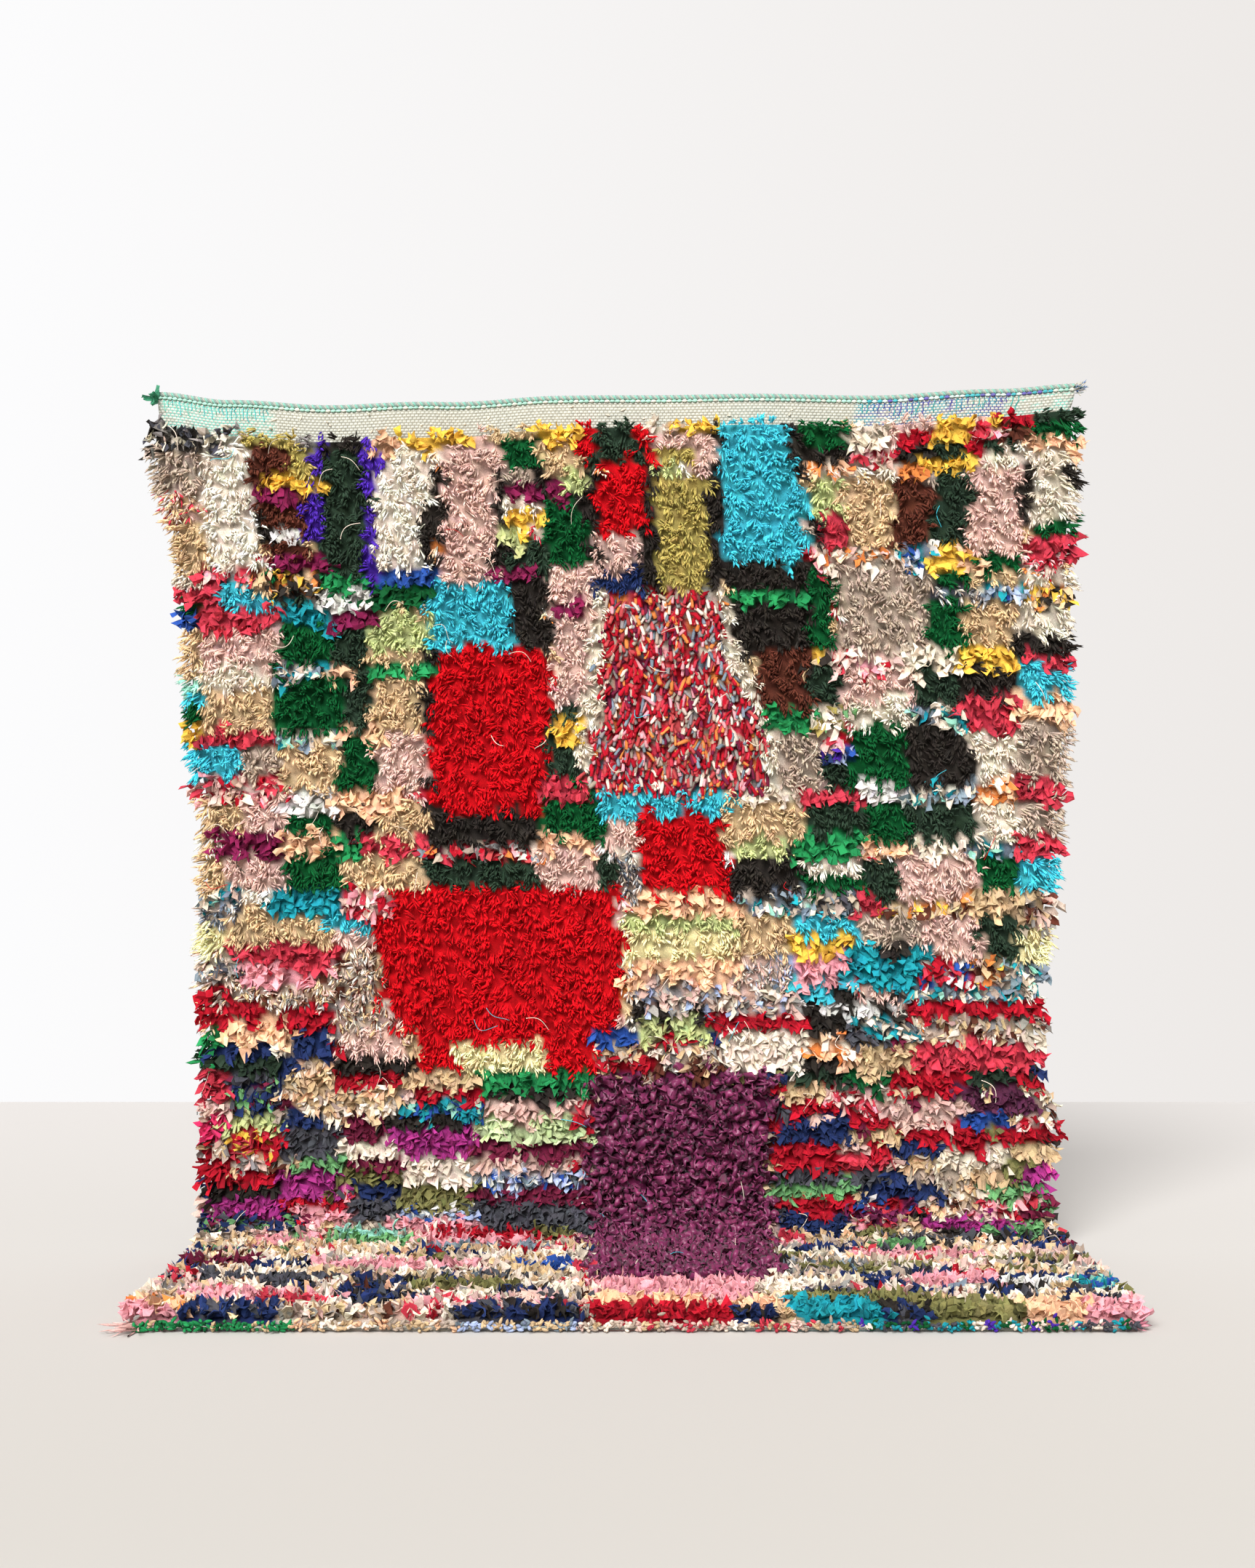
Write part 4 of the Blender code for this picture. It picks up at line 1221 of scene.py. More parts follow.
        return points, np.minimum(dye_of(each(knots["yarn"]), rng) * tone[:, None], LIGHTEST)

    def body(self, knots: dict[str, Array], surface: Material, rng: Rng) -> None:
        """The matted body of the pile: one soft lump a knot, in the knot's own yarn.

        Args:
            knots: Every knot.
            surface: Its material.
            rng: What its small unevenness is drawn from.
        """
        columns, rows = self.body_columns, self.body_rows
        across, row = np.meshgrid(
            np.linspace(self.body_margin, 1 - self.body_margin, columns),
            np.linspace(self.form.pile_top + 0.001, self.form.length - self.end_margin, rows),
        )
        along = self.form.row_along(row, across)
        nearest, distance = self.nearest_knots(knots, across.ravel(), along.ravel())
        lump = np.exp(-((distance / self.lump_size) ** 2)).reshape(row.shape)
        size = rng.uniform(*self.lump_range, len(knots["yarn"]))[nearest].reshape(row.shape)
        high = self.body_low + self.body_lump * lump * size + rng.normal(0, self.body_fuzz, row.shape)
        # The outer three rings of points slope down to the ground
        for k, share in ((0, 0.1), (1, 0.5), (2, 0.85)):
            for edge in (np.s_[k], np.s_[-1 - k], np.s_[:, k], np.s_[:, -1 - k]):
                high[edge] = np.minimum(high[edge], self.form.weave / 2 + share * self.body_low)
        points = self.form.point(across, along, high).reshape(-1, 3)
        index = np.arange(row.size).reshape(row.shape)
        faces = np.stack([index[:-1, :-1], index[1:, :-1], index[1:, 1:], index[:-1, 1:]], -1).reshape(-1, 4)
        places = np.stack(np.meshgrid(np.linspace(0, 1, columns), np.linspace(0, 1, rows)), -1).reshape(-1, 2)
        # The hollows between the lumps lie in shade
        shade = self.hollow_shade + self.lump_shade * lump.ravel()
        dye = dye_of(knots["yarn"], rng)[nearest] * shade[:, None]
        piece = mesh_object("pile_body", points, [faces], {BAKE_MAP: [places[faces]]}, dye, True)
        self.pieces.append(finish_piece(piece, surface))

    def nearest_knots(self, knots: dict[str, Array], across: Array, along: Array) -> tuple[Array, Array]:
        """The nearest knot to each place on the cloth.

        Args:
            knots: Every knot.
            across: Shares of the width.
            along: Distances from the top edge.

        Returns:
            The knots' numbers, and how far away they are.
        """
        tree = KDTree(len(knots["yarn"]))
        for i, (x, y) in enumerate(zip(knots["across"] * self.cloth_width, knots["along"])):
            tree.insert((x, y, 0.0), i)
        tree.balance()
        found = [tree.find((x, y, 0.0)) for x, y in zip(across * self.cloth_width, along)]
        return np.array([f[1] for f in found]), np.array([f[2] for f in found])

    def threads(self, knots: dict[str, Array], surface: Material) -> None:
        """Loose threads that lie on the pile, and a few dark ones that hang at its left edge.

        Args:
            knots: Every knot.
            surface: Their material.
        """
        rng = np.random.default_rng(SEED + 5)
        bundle = Bundle()
        t = np.linspace(0, 1, self.thread_points)[:, None]
        for i in rng.choice(len(knots["yarn"]), self.stray_threads, replace=False):
            across, along = knots["across"][i : i + 1], knots["along"][i : i + 1]
            start = self.form.point(across, along, self.thread_height)[0]
            out, onward = self.form.facing(along)[0], self.form.onward(along)[0]
            way = unit(RIGHT * rng.normal(0, 0.8) + onward * rng.uniform(0.1, 1.0))
            side = np.cross(out, way)
            reach, curl = rng.uniform(*self.thread_reach), rng.uniform(-0.012, 0.012)
            run = start + way * reach * t + side * curl * np.sin(t * rng.uniform(2, 5))
            thick = rng.uniform(*self.thread_radius)
            dye = DYES[self.thread_dyes[int(rng.integers(0, len(self.thread_dyes)))]]
            bundle.add(run + out * 0.007 * np.sin(t * 3.1), thick, 4, dye)
        for _ in range(self.edge_threads):
            along = np.array([rng.uniform(*self.edge_thread_span)])
            start = self.form.point(np.array([-0.004]), along, 0.012)[0]
            reach = rng.uniform(*self.edge_thread_reach)
            hang = np.array([rng.normal(0, 0.006), 0.0, -reach])
            run = start - RIGHT * 0.012 * np.sin(t * 2.2) + hang * t
            bundle.add(run, self.edge_thread_radius, 4, DYES["dark_green"])
        self.pieces.append(finish_piece(bundle.build("stray_threads"), surface))


def add_node(
    tree: Tree, kind: str, settings: dict | None = None, values: dict | None = None, links: dict | None = None
) -> bpy.types.Node:
    """Add one shader node.

    Args:
        tree: The material's node tree.
        kind: The node's type, without the words "ShaderNode" in front.
        settings: Properties to set on it.
        values: Input values by name or number.
        links: Sockets to join to its inputs, by name or number.

    Returns:
        The new node.
    """
    node = tree.nodes.new("ShaderNode" + kind)
    for name, value in (settings or {}).items():
        setattr(node, name, value)
    for name, value in (values or {}).items():
        node.inputs[name].default_value = value
    for name, source in (links or {}).items():
        tree.links.new(source, node.inputs[name])
    return node


def new_finish(name: str, uniform: dict[str, float]) -> tuple[Material, Tree]:
    """A material whose uniform values are set on the shader's own sockets.

    Args:
        name: The material's name.
        uniform: The values by socket.

    Returns:
        The material and its node tree.
    """
    made = bpy.data.materials.new(name)
    made.use_nodes = True
    for socket, value in uniform.items():
        made.node_tree.nodes["Principled BSDF"].inputs[socket].default_value = value
    return made, made.node_tree


def shade_finish(tree: Tree, colour: Socket, tone: Socket, height: Socket, strength: float, distance: float) -> None:
    """Join a colour, its light and dark places and a relief to the shader.

    Args:
        tree: The material's node tree.
        colour: The colour.
        tone: What the colour is multiplied by.
        height: The relief.
        strength: How strongly the relief shows.
        distance: How deep it is, in metres.
    """
    shader = tree.nodes["Principled BSDF"]
    shaded = add_node(tree, "VectorMath", {"operation": "SCALE"}, None, {0: colour, "Scale": tone})
    bump = add_node(tree, "Bump", None, {"Strength": strength, "Distance": distance}, {"Height": height})
    tree.links.new(shaded.outputs["Vector"], shader.inputs["Base Color"])
    tree.links.new(bump.outputs["Normal"], shader.inputs["Normal"])


@dataclass(frozen=True)
class CutFibre:
    """Dyed cut fibre, whose colour comes from its knot: soft and matt, with flecks where ends fray."""

    name: str
    roughness: float
    sheen: float
    fleck_mm: float
    fleck_depth: float
    bump: float
    gloss: float
    relief_mm: float = 0.4

    def material(self) -> Material:
        """The material, whose flecks and bumps are worked out from a size in millimetres.

        Returns:
            The new material.
        """
        uniform = {"Roughness": self.roughness, "Sheen Weight": self.sheen, "Sheen Roughness": 0.5}
        made, tree = new_finish(self.name, {**uniform, "Specular IOR Level": self.gloss})
        place = add_node(tree, "TexCoord").outputs["Object"]
        # The vertex colour carries the knot's dye and the painted shade at the strands' roots and in the body's
        # hollows
        dye = add_node(tree, "VertexColor", {"layer_name": DYE_AND_SHADE}).outputs["Color"]
        grain = {"Scale": 1.0 / (self.fleck_mm * MM), "Detail": 2.0}
        fleck = add_node(tree, "TexNoise", None, grain, {"Vector": place}).outputs["Fac"]
        low, high = 1.0 - self.fleck_depth, 1.0 + self.fleck_depth
        depth = {"From Min": 0.3, "From Max": 0.7, "To Min": low, "To Max": high}
        tone = add_node(tree, "MapRange", None, depth, {"Value": fleck}).outputs["Result"]
        shade_finish(tree, dye, tone, fleck, self.bump, self.relief_mm * MM)
        return made


# Combed wool ends scatter the light, so the blocks look deep and matt, with hardly a sheen
WOOL_PILE = CutFibre("cut wool pile", 0.95, 0.02, 1.5, 0.25, 0.8, 0.08)
# Torn cotton is flat and dull, with the faint grain of its weave
COTTON_RAG = CutFibre("torn cotton rag", 0.85, 0.02, 1.2, 0.12, 0.6, 0.12)
# Jersey strips roll up when they are cut, so light runs along their rounded edges
JERSEY_STRIP = CutFibre("rolled cotton jersey", 0.85, 0.02, 1.4, 0.16, 0.7, 0.12)
# Spun yarn, cut short, shows its twist as light and dark flecks
SPUN_YARN = CutFibre("cut spun yarn", 0.9, 0.03, 1.0, 0.26, 0.9, 0.10)
# Rayon jersey has a soft gloss along each roll
RAYON_JERSEY = CutFibre("curled rayon jersey", 0.42, 0.06, 1.5, 0.15, 0.4, 0.45)


@dataclass(frozen=True)
class PlainWeave:
    """Cream wool and cotton plain weave: thick wefts beaten over thin warps, which gives pale beads in rows, with
    painted shade between them.

    The real threads are about 2 mm apart, too fine to show in the render, so they are drawn two to three
    times as coarse.
    """

    name: str = "ribbed cream plain weave"
    cream: str = "#CACABE"
    shadow: str = "#A3A08F"
    back_cream: str = "#DDD2BC"
    mint: str = "#7CC6B6"
    violet: str = "#4B4A92"
    teal: str = "#3E93A0"
    warp_mm: float = 6.2
    weft_mm: float = 4.4
    knot_row_mm: float = 21.5
    fuzz_mm: float = 2.38095
    slub_mm: float = 6.25
    relief_mm: float = 1.2

    def material(self) -> Material:
        """The material, drawn on the cloth's own map in metres.

        Returns:
            The new material.
        """
        made, tree = new_finish(self.name, {"Roughness": 0.95, "Sheen Weight": 0.2, "Specular IOR Level": 0.2})
        cloth = add_node(tree, "UVMap", {"uv_map": CLOTH_MAP}).outputs["UV"]
        dye = add_node(tree, "VertexColor", {"layer_name": DYE_AND_SHADE}).outputs["Color"]
        split = add_node(tree, "SeparateXYZ", None, None, {0: cloth})
        wefts = self.wave(tree, split.outputs["Y"], self.weft_mm)
        side = add_node(tree, "Math", {"operation": "SIGN"}, None, {0: wefts}).outputs[0]
        # Every second row of beads stands half a thread further across
        quarter = {1: math.pi / 4, 2: math.pi / 4}
        shift = add_node(tree, "Math", {"operation": "MULTIPLY_ADD"}, quarter, {0: side}).outputs[0]
        warps = self.wave(tree, split.outputs["X"], self.warp_mm, shift)
        weft = add_node(tree, "Math", {"operation": "ABSOLUTE"}, None, {0: wefts}).outputs[0]
        warp = add_node(tree, "Math", {"operation": "ABSOLUTE"}, None, {0: warps}).outputs[0]
        bead = add_node(tree, "Math", {"operation": "MULTIPLY"}, None, {0: weft, 1: warp}).outputs[0]
        grain = {"Scale": 1.0 / (self.fuzz_mm * MM), "Detail": 3.0}
        fuzz = add_node(tree, "TexNoise", None, grain, {"Vector": cloth}).outputs["Fac"]
        sum_up = {0: fuzz, 2: bead}
        height = add_node(tree, "Math", {"operation": "MULTIPLY_ADD"}, {1: 0.35}, sum_up).outputs[0]
        gap = {"From Min": 0.30, "From Max": 0.62}
        level = add_node(tree, "MapRange", None, gap, {"Value": height}).outputs["Result"]
        front = add_node(tree, "Math", {"operation": "GREATER_THAN"}, {1: FRONT_SHIFT / 2}, {0: split.outputs["X"]})
        knots = self.wave(tree, split.outputs["Y"], self.knot_row_mm / 2)
        # On the back, rows of knots show between the cream wefts
        between = add_node(tree, "Math", {"operation": "LESS_THAN"}, {1: -0.25}, {0: knots})
        sides = {0: front.outputs[0], 1: between.outputs[0]}
        plain = add_node(tree, "Math", {"operation": "MAXIMUM"}, None, sides).outputs[0]
        # The gaps between the beads are painted darker as painted shade: the shadow colour on the back, and on the
        # front the vertex colour, which is that shade or a coloured weft
        cream, shadow = {7: (*linear(self.cream), 1.0)}, {6: (*linear(self.shadow), 1.0)}
        bead_dye = add_node(tree, "Mix", {"data_type": "RGBA"}, cream, {0: plain, 6: dye}).outputs[2]
        gap_shadow_and_dye = add_node(tree, "Mix", {"data_type": "RGBA"}, shadow, {0: front.outputs[0], 7: dye}).outputs[2]
        layers = {0: level, 6: gap_shadow_and_dye, 7: bead_dye}
        woven = add_node(tree, "Mix", {"data_type": "RGBA"}, None, layers).outputs[2]
        uneven = {"Scale": 1.0 / (self.slub_mm * MM), "Detail": 2.0}
        slub = add_node(tree, "TexNoise", None, uneven, {"Vector": cloth}).outputs["Fac"]
        depth = {"From Min": 0.3, "From Max": 0.7, "To Min": 0.80, "To Max": 1.10}
        tone = add_node(tree, "MapRange", None, depth, {"Value": slub}).outputs["Result"]
        shade_finish(tree, woven, tone, height, 0.9, self.relief_mm * MM)
        return made

    def wave(self, tree: Tree, place: Socket, step_mm: float, shift: Socket | None = None) -> Socket:
        """A wave across the cloth that crosses zero once every thread.

        Args:
            tree: The material's node tree.
            place: The place across or along the cloth, in metres.
            step_mm: How far apart the threads are.
            shift: By what the wave is moved, if it is.

        Returns:
            The wave.
        """
        links = {0: place} if shift is None else {0: place, 2: shift}
        values = {1: math.pi / (step_mm * MM)}
        if shift is None:
            values[2] = 0.0
        phase = add_node(tree, "Math", {"operation": "MULTIPLY_ADD"}, values, links).outputs[0]
        return add_node(tree, "Math", {"operation": "SINE"}, None, {0: phase}).outputs[0]


@dataclass
class Ground:
    """The woven ground: a bare band at the top, knots showing on the back, and the hem."""

    form: RugForm
    pile: Pile
    weave: PlainWeave
    columns: int = 130
    rows: int = 100
    band_rows: int = 9
    band: float = 0.050
    bake_width: float = 0.47
    bake_height: float = 0.96
    bake_rim: Span = (0.975, 0.995)
    mint_until: float = 0.13
    accents: Span = (0.76, 0.93)

    def build(self) -> Piece:
        """Make the ground as one sheet.

        Returns:
            The piece.
        """
        rng = np.random.default_rng(SEED + 1)
        band = np.linspace(0, self.band, self.band_rows, endpoint=False)
        row = np.concatenate([band, np.linspace(self.band, self.form.length, self.rows)])
        across, row = np.meshgrid(np.linspace(0, 1, self.columns), row)
        top = self.form.pile_top
        in_band = self.form.row_along(top, across) * np.clip(row / top, 0, 1)
        along = np.minimum(np.where(row < top, in_band, self.form.row_along(row, across)), self.form.length)
        layers = [self.form.point(across, along, side * self.form.weave / 2) for side in (-1, 1)]
        verts = np.concatenate([layer.reshape(-1, 3) for layer in layers])
        index = np.arange(row.size).reshape(row.shape)
        back = np.stack([index[:-1, :-1], index[:-1, 1:], index[1:, 1:], index[1:, :-1]], -1).reshape(-1, 4)
        front = back[:, ::-1] + row.size
        ring = np.concatenate([index[0, :-1], index[:-1, -1], index[-1, :0:-1], index[:0:-1, 0]])
        after = np.roll(ring, -1)
        rim = np.stack([ring, ring + row.size, after + row.size, after], -1)
        left, right = self.form.side_edges(along)
        cloth = np.stack([left + (right - left) * across, along], -1).reshape(-1, 2)
        cloth = np.concatenate([cloth, cloth + [FRONT_SHIFT, 0.0]])
        flat = np.stack([across * self.bake_width, row / self.form.length * self.bake_height], -1).reshape(-1, 2)
        flat = np.concatenate([flat, flat + [0.5, 0.0]])
        maps = {
            BAKE_MAP: [flat[back], flat[front], self.rim_places(len(rim))],
            CLOTH_MAP: [cloth[back], cloth[front], cloth[rim]],
        }
        dye = np.concatenate([self.back_dye(across, along, rng), self.band_dye(across, along, rng)])
        piece = mesh_object("woven_ground", verts, [back, front, rim], maps, dye, True)
        return finish_piece(piece, self.weave.material(), ["ground_weave"])

    def rim_places(self, count: int) -> Array:
        """Where the rim's faces lie in the bake map: one narrow strip.

        Args:
            count: How many faces the rim has.

        Returns:
            Faces by 4 corners by 2.
        """
        start = np.arange(count) / count
        end = start + 1 / count
        low, high = (np.full(count, level) for level in self.bake_rim)
        return np.stack([start, low, start, high, end, high, end, low], -1).reshape(-1, 4, 2)

    def back_dye(self, across: Array, along: Array, rng: Rng) -> Array:
        """The back shows each knot's yarn between the cream wefts.

        Args:
            across: Shares of the width.
            along: Distances from the top edge.
            rng: What the yarns' differences are drawn from.

        Returns:
            One colour a point.
        """
        yarn, _ = self.pile.look_up(across.ravel(), along.ravel(), rng)
        knotted = (along.ravel() > self.form.pile_top)[:, None]
        return np.where(knotted, dye_of(yarn, rng) * 0.9, np.array(linear(self.weave.back_cream)))

    def band_dye(self, across: Array, along: Array, rng: Rng) -> Array:
        """The front's colour between the beads: the painted shade of the cream band, with mint weft at its left end
        and teal and violet ones further right.

        Args:
            across: Shares of the width.
            along: Distances from the top edge.
            rng: What the threads' places are drawn from.

        Returns:
            One colour a point.
        """
        x = np.where(along.ravel() < self.band, across.ravel(), 0.5)
        place = rng.random(x.size)
        right = (x > self.accents[0]) & (x < self.accents[1])
        # The points start in the shadow colour, the painted shade between the beads
        dye = np.tile(np.array(linear(self.weave.shadow)), (x.size, 1))
        dye[(x < self.mint_until) & (place < 0.80)] = linear(self.weave.mint)
        dye[right & (place < 0.5)] = linear(self.weave.teal)
        dye[right & (place > 0.6)] = linear(self.weave.violet)
        dye[(x > self.accents[1]) & (place < 0.5)] = linear(self.weave.mint)
        return dye * rng.uniform(0.92, 1.04, (x.size, 1))


@dataclass
class EdgeTrim:
    """The cords and rags that finish the rug's ends and corners."""

    form: RugForm
    top_length: float = 1.40
    hem_length: float = 1.32
    cord_points: int = 640
    cord_radius: float = 0.0030
    cord_twist: float = 0.011
    cord_lift: Point = (0.0, 0.0, 0.0062)
    cord_dyes: tuple[str, ...] = ("#84948D", "#7FB5A4", "#A3A79B")
    chain_step: float = 0.0078
    chain_lift: Point = (0.0, -0.0025, 0.0008)
    chain_thick: tuple[float, ...] = (0.0012, 0.0026, 0.0027, 0.0012)
    chain_mint_until: float = 0.12
    chain_accents_at: Span = (0.76, 0.97)
    chain_dyes: tuple[str, str] = ("#A9D6C2", "#D8DCCB")
    chain_accents: tuple[str, ...] = ("#4FB0B8", "#6A63A8", "#CFE3DD")
    upright_radius: float = 0.0008
    upright_reach: Span = (0.008, 0.024)
    slubs: int = 26
    slub_reach: Span = (0.004, 0.009)
    slub_thick: tuple[float, ...] = (0.0006, 0.0019, 0.0016, 0.0005)
    slub_dye: str = "#DCD3BF"
    hem_step: float = 0.0075
    hem_loops: int = 5
    hem_lift: Point = (0.0, -0.0055, 0.0048)
    hem_reach: Span = (0.007, 0.013)
    hem_thick: tuple[float, ...] = (0.0008, 0.0024, 0.0022, 0.0007)
    floor_gap: float = 0.0022
    end_gap: float = 0.001
    end_scatter: float = 0.0022
    end_spread: float = 0.34
    end_crumple_mm: float = 1.2
    end_shade: float = 0.8

    def line(self, along: float, count: int, lift: Point) -> Array:
        """Points beside one end of the ground.

        Args:
            along: The end's distance from the top edge.
            count: How many points.
            lift: How far they stand off from it.

        Returns:
            The points.
        """
        across = np.linspace(0, 1, count)
        return self.form.point(across, np.full(count, along)) + np.array(lift)

    def top_cord(self, surface: Material) -> Piece:
        """The cord along the top edge, the stitches under it, and the threads and slubs of the band.

        Args:
            surface: Their material.

        Returns:
            The piece.
        """
        rng = np.random.default_rng(SEED + 2)
        bundle = Bundle()
        self.plies(bundle)
        self.chain(bundle, rng)
        self.upright_threads(bundle, rng)
        self.band_slubs(bundle, rng)
        return finish_piece(bundle.build("top_cord"), surface, ["end_cord"])

    def plies(self, bundle: Bundle) -> None:
        """Three plies twisted round each other along the top edge.

        Args:
            bundle: What they are added to.
        """
        route = self.line(0.0, self.cord_points, self.cord_lift)
        travel = np.concatenate([[0], np.cumsum(np.linalg.norm(np.diff(route, axis=0), axis=1))])
        for ply, colour in enumerate(self.cord_dyes):
            angle = 2 * math.pi * (travel / self.cord_twist + ply / len(self.cord_dyes))
            offset = np.stack([np.zeros_like(angle), np.cos(angle), np.sin(angle)], -1)
            bundle.add(route + offset * self.cord_radius * 0.8, self.cord_radius * 0.75, 5, colour)

    def chain(self, bundle: Bundle, rng: Rng) -> None:
        """The chain of mint stitches under the cord, with teal and violet ones near its right end.

        Args:
            bundle: What they are added to.
            rng: What their differences are drawn from.
        """
        middles = self.line(0.0, int(self.top_length / self.chain_step), self.chain_lift)
        first, last = self.chain_accents_at
        for i, middle in enumerate(middles[:-1]):
            way = unit(middles[i + 1] - middle)
            run = middle + way * np.linspace(0, self.chain_step * 0.94, 4)[:, None]
            thick = np.array(self.chain_thick) * rng.uniform(0.85, 1.1)
            share = i / len(middles)
            colour = self.chain_dyes[0 if share < self.chain_mint_until or i % 3 else 1]
            if first < share < last:
                colour = self.chain_accents[int(rng.integers(0, len(self.chain_accents)))]
            bundle.add(run, thick, 5, colour, rng.uniform(0.85, 1.05))

    def upright_threads(self, bundle: Bundle, rng: Rng) -> None:
        """The coloured threads that stand upright in the band.

        Args:
            bundle: What they are added to.
            rng: What their differences are drawn from.
        """
        _, left, right = self.form.sides[0]
        for first, last, step, colours in UPRIGHT_THREADS:
            for x in np.arange(first, last, step):
                across = (x - left) / (right - left)
                low = rng.uniform(*self.upright_reach)
                run = self.form.point(np.full(4, across), np.linspace(0.002, low, 4), 0.0022)
                run[:, 0] += rng.normal(0, 0.0009, 4)
                bundle.add(run, self.upright_radius, 4, colours[int(rng.integers(0, len(colours)))])

    def band_slubs(self, bundle: Bundle, rng: Rng) -> None:
        """The small slubs that stand out from the band.

        Args:
            bundle: What they are added to.
            rng: What their places are drawn from.
        """
        for _ in range(self.slubs):
            across, along = rng.uniform(0.12, 0.75), rng.uniform(0.006, 0.032)
            start = self.form.point(np.array([across]), np.array([along]), 0.0025)[0]
            way = unit(rng.normal(size=3) * [1.0, 0.15, 0.6])
            run = start + way * np.linspace(0, rng.uniform(*self.slub_reach), 4)[:, None]
            bundle.add(run, np.array(self.slub_thick), 5, self.slub_dye, rng.uniform(0.85, 1.05))

    def hem(self, surface: Material) -> Piece:
        """The overcast loops in front of the hem.

        Args:
            surface: Their material.

        Returns:
            The piece.
        """
        rng = np.random.default_rng(SEED + 3)
        bundle = Bundle()
        for middle in self.line(self.form.length, int(self.hem_length / self.hem_step), self.hem_lift):
            names = next(names for end, names in HEM_DYES if middle[0] / CM < end)
            colour = DYES[names[int(rng.integers(0, len(names)))]]
            for _ in range(self.hem_loops):
                way = unit(rng.normal(size=3) * [0.9, 0.5, 0.5] + [0.0, -0.5, 0.3])
                start = middle + rng.normal(size=3) * [0.003, 0.002, 0.0032] + [0, 0, 0.002] - way * 0.003
                run = start + way * np.linspace(0, rng.uniform(*self.hem_reach), 4)[:, None]
                run[:, 2] = np.maximum(run[:, 2], self.floor_gap - self.form.floor_drop)
                bundle.add(run, np.array(self.hem_thick), 5, colour, rng.uniform(0.6, 1.0))
        return finish_piece(bundle.build("hem_loops"), surface, ["hem_binding"])

    def corners(self, rag: Material, yarn: Material) -> None:
        """The rag knot and fray at the top corners and the loose ends on the floor.

        Args:
            rag: The material of the rags.
            yarn: The material of the yarns.
        """
        rng = np.random.default_rng(SEED + 4)
        for ends in LOOSE_ENDS:
            self.ends(ends, rag if ends.cut is Cut.RAG else yarn, rng)

    def ends(self, ends: LooseEnds, surface: Material, rng: Rng) -> None:
        """One bunch of loose ends from a corner.

        Args:
            ends: The bunch.
            surface: Its material.
            rng: What the ends' differences are drawn from.
        """
        tuft, count = TUFTS[ends.cut], ends.count
        maker = StrandMaker(tuft.section, tuft.rings, tuft.pointed)
        along = self.form.length if ends.at_hem else 0.0
        corner = self.form.point(np.array([ends.across]), np.array([along]))
        roots = corner + np.array(ends.offset) + rng.normal(0, self.end_scatter, (count, 3))
        level = 0.5 if ends.at_hem else 1.0
        spread = rng.normal(0, self.end_spread, (count, 3)) * [1, 1, level]
        first, last = unit(np.array(ends.way) + spread), unit(np.array(ends.way) + spread * 1.6)
        length = rng.uniform(*ends.length, count) * MM
        width = rng.uniform(*ends.half_width, count) * MM
        twist = rng.uniform(-2, 2, count)
        crumple = np.full(count, self.end_crumple_mm * MM)
        points = maker.strand_points(roots, first, last, length, width, crumple, twist, np.zeros(count), rng)
        points[..., 2] = np.maximum(points[..., 2], self.end_gap - self.form.floor_drop)
        palette = np.array([linear(colour) for colour in ends.colours])
        dye = palette[np.arange(count) % len(palette)] * rng.uniform(0.8, 1.15, (count, 1))
        piece = maker.build(ends.name, points, dye, self.end_shade, tuft.pointed)
        finish_piece(piece, surface, [ends.node])


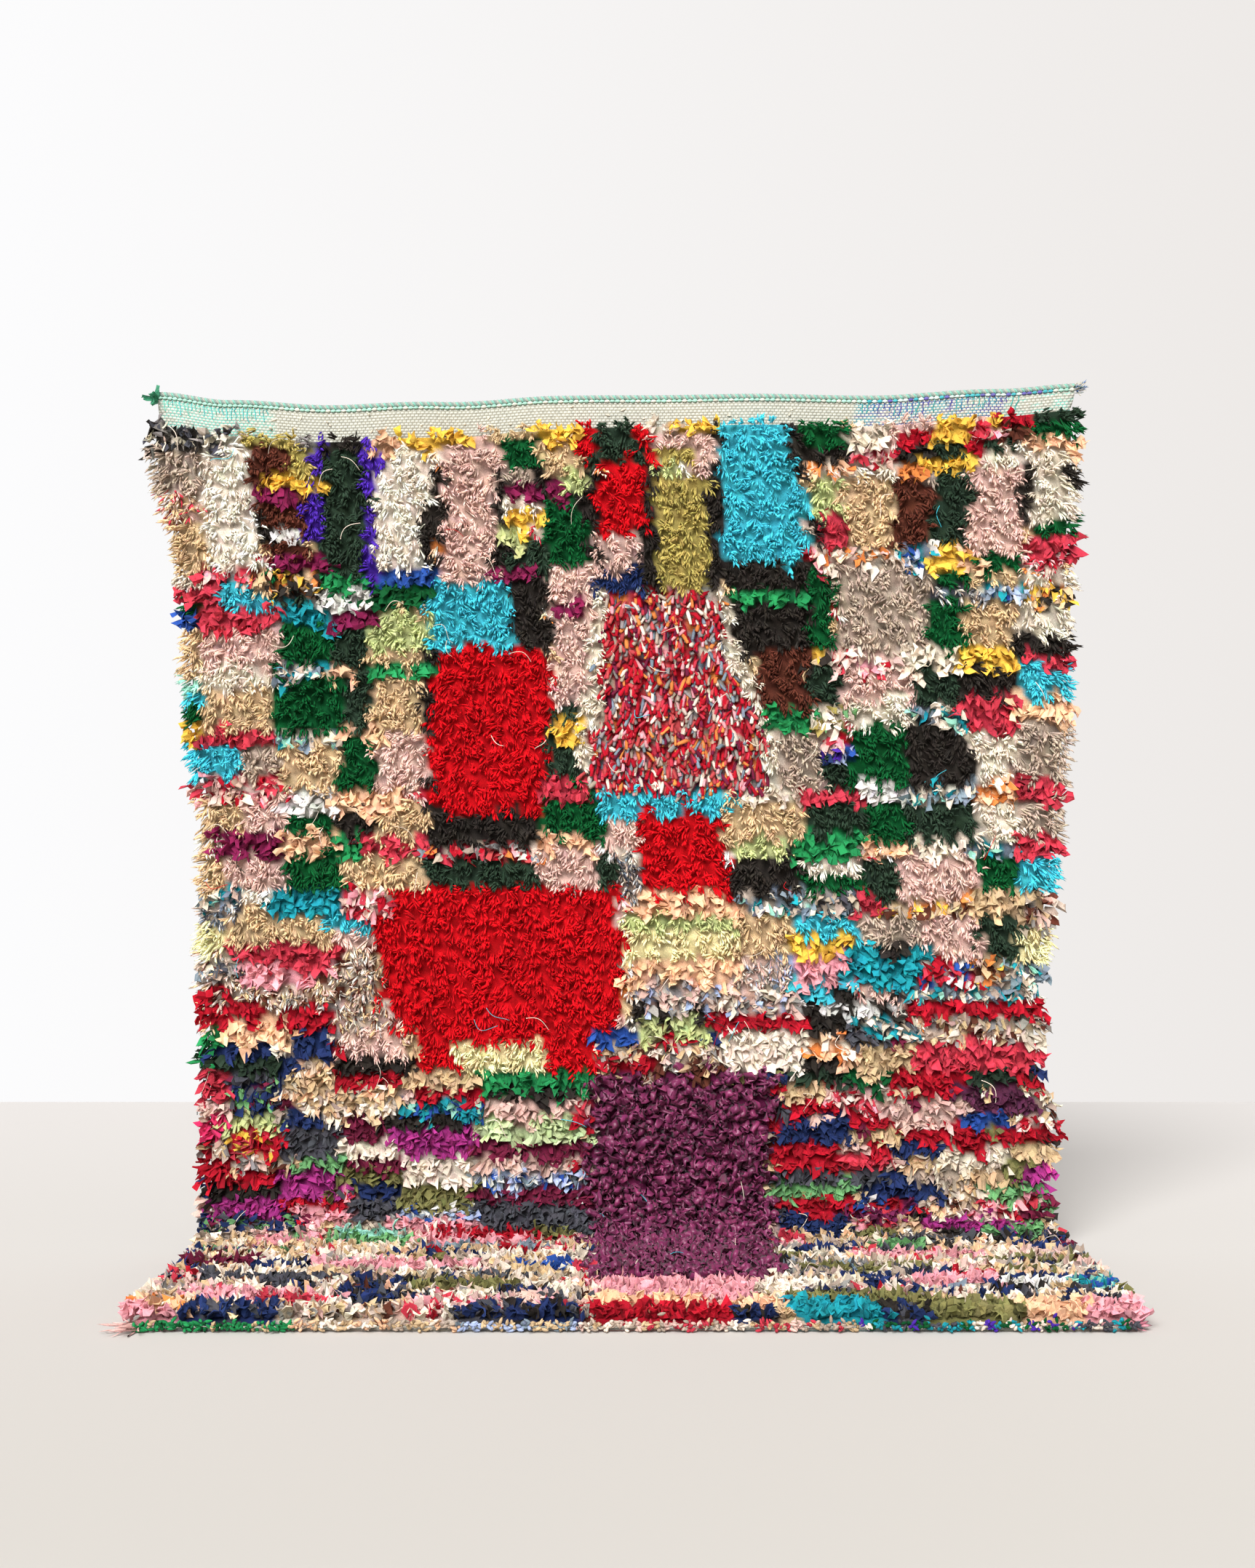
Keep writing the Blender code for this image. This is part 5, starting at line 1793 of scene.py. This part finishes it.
@dataclass
class Studio:
    """The pale floor, the even light and the camera of the photograph."""

    form: RugForm
    camera_back: float = 3.33
    camera_height: float = -0.584
    lens_mm: float = 50.0
    sensor_mm: float = 36.0
    target: Point = (0.0, 0.0, -0.6)
    key_place: Point = (-1.0, -4.0, 2.7)
    key_power: float = 5.0
    key_angle: float = 38.0
    back_place: Point = (1.6, 3.4, 1.2)
    back_power: float = 3.5
    back_size: float = 2.6
    back_spread: float = 100.0
    floor_reach: float = 9.0
    floor_gap: float = 0.0006
    wall_at: float = 1.51
    floor_near_painted_shade: str = "#C4C0BA"
    floor_far_painted_light: str = "#CDC9C6"
    wall_left_painted_light: str = "#FDFDFE"
    wall_right_painted_shade: str = "#EDE9E6"
    ambient: float = 0.50

    def build(self) -> None:
        """Make the floor, the wall, the lamps and the camera."""
        self.floor()
        self.wall()
        key = self.lamp("key", "SUN", self.key_place, self.key_power)
        key.angle = math.radians(self.key_angle)
        back = self.lamp("back", "AREA", self.back_place, self.back_power)
        back.size, back.spread = self.back_size, math.radians(self.back_spread)
        view = bpy.data.cameras.new("camera")
        view.lens, view.sensor_width = self.lens_mm, self.sensor_mm
        camera = to_scene("camera", view)
        camera.location = (0.0, -self.camera_back, self.camera_height)
        camera.rotation_euler = (math.pi / 2, 0.0, 0.0)
        bpy.context.scene.camera = camera
        bpy.context.scene.view_settings.view_transform = "Standard"

    def blend(self, tree: Tree, place: Socket, start: float, end: float, colours: tuple[str, str]) -> Socket:
        """A colour that runs from one hex colour to another.

        Args:
            tree: The node tree.
            place: What the colour follows.
            start: Where the first colour is.
            end: Where the second colour is.
            colours: The two colours.

        Returns:
            The colour.
        """
        span = {"From Min": start, "From Max": end}
        share = add_node(tree, "MapRange", None, span, {"Value": place}).outputs["Result"]
        ends = {6: (*linear(colours[0]), 1.0), 7: (*linear(colours[1]), 1.0)}
        return add_node(tree, "Mix", {"data_type": "RGBA"}, ends, {0: share}).outputs[2]

    def floor(self) -> None:
        """The floor, in matt paint that is painted lighter towards the wall as painted light; it ends where the pale
        wall starts.
        """
        low, far = -self.form.floor_drop - self.floor_gap, self.floor_reach
        corners = np.array([[-far, -far, low], [far, -far, low], [far, self.wall_at, low], [-far, self.wall_at, low]])
        square = np.array([[[0, 0], [1, 0], [1, 1], [0, 1]]], float)
        piece = mesh_object("studio_floor", corners, [np.array([[0, 1, 2, 3]])], {BAKE_MAP: [square]}, None, False)
        # Matt paint spreads the light, so the floor mirrors nothing
        paint, tree = new_finish("matt floor paint with painted light", {"Roughness": 0.8, "Specular IOR Level": 0.2})
        place = add_node(tree, "TexCoord").outputs["Object"]
        split = add_node(tree, "SeparateXYZ", None, None, {0: place})
        # The floor's colour runs from darker near the camera to lighter at the wall: painted light
        colour = self.blend(tree, split.outputs["Y"], -1.2, self.wall_at, (self.floor_near_painted_shade, self.floor_far_painted_light))
        tree.links.new(colour, tree.nodes["Principled BSDF"].inputs["Base Color"])
        piece.data.materials.append(paint)

    def wall(self) -> None:
        """The pale wall all round, which also gives the even light; it is painted darker towards the right, as
        painted shade.
        """
        world = bpy.data.worlds.new("pale wall")
        world.use_nodes = True
        tree = world.node_tree
        way = add_node(tree, "TexCoord").outputs["Generated"]
        split = add_node(tree, "SeparateXYZ", None, None, {0: way})
        # The wall seen by the camera is painted darker from left to right: painted shade
        colour = self.blend(tree, split.outputs["X"], -0.3, 0.3, (self.wall_left_painted_light, self.wall_right_painted_shade))
        tree.links.new(colour, tree.nodes["Background"].inputs["Color"])
        seen = add_node(tree, "LightPath").outputs["Is Camera Ray"]
        power = {"To Min": self.ambient, "To Max": 1.0}
        strength = add_node(tree, "MapRange", None, power, {"Value": seen})
        tree.links.new(strength.outputs["Result"], tree.nodes["Background"].inputs["Strength"])
        bpy.context.scene.world = world

    def lamp(self, name: str, kind: str, place: Point, power: float) -> bpy.types.Light:
        """One soft lamp that points at the rug.

        Args:
            name: Its name.
            kind: The kind of lamp.
            place: Where it stands.
            power: Its strength.

        Returns:
            The lamp's light, whose size is still to be set.
        """
        light = bpy.data.lights.new(name, kind)
        light.energy = power
        lamp = to_scene(name, light)
        lamp.location = place
        lamp.rotation_euler = (Vector(self.target) - Vector(place)).to_track_quat("-Z", "Y").to_euler()
        return light


def main() -> None:
    """Build the studio and the rug, and note the sizes."""
    logging.basicConfig(level=logging.INFO, format="%(message)s")
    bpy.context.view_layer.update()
    form, chart = RugForm(), Chart()
    Studio(form).build()
    finishes = {
        Cut.WOOL: WOOL_PILE, Cut.RAG: COTTON_RAG, Cut.STRIP: JERSEY_STRIP, Cut.STUB: SPUN_YARN,
        Cut.CURL: RAYON_JERSEY,
    }
    surfaces = {cut: finish.material() for cut, finish in finishes.items()}
    pile = Pile(form, chart)
    pile.build(surfaces)
    ground = Ground(form, pile, PlainWeave()).build()
    trim = EdgeTrim(form)
    cord = trim.top_cord(surfaces[Cut.STUB])
    hem = trim.hem(surfaces[Cut.STUB])
    trim.corners(surfaces[Cut.RAG], surfaces[Cut.STUB])


if __name__ == "__main__":
    main()
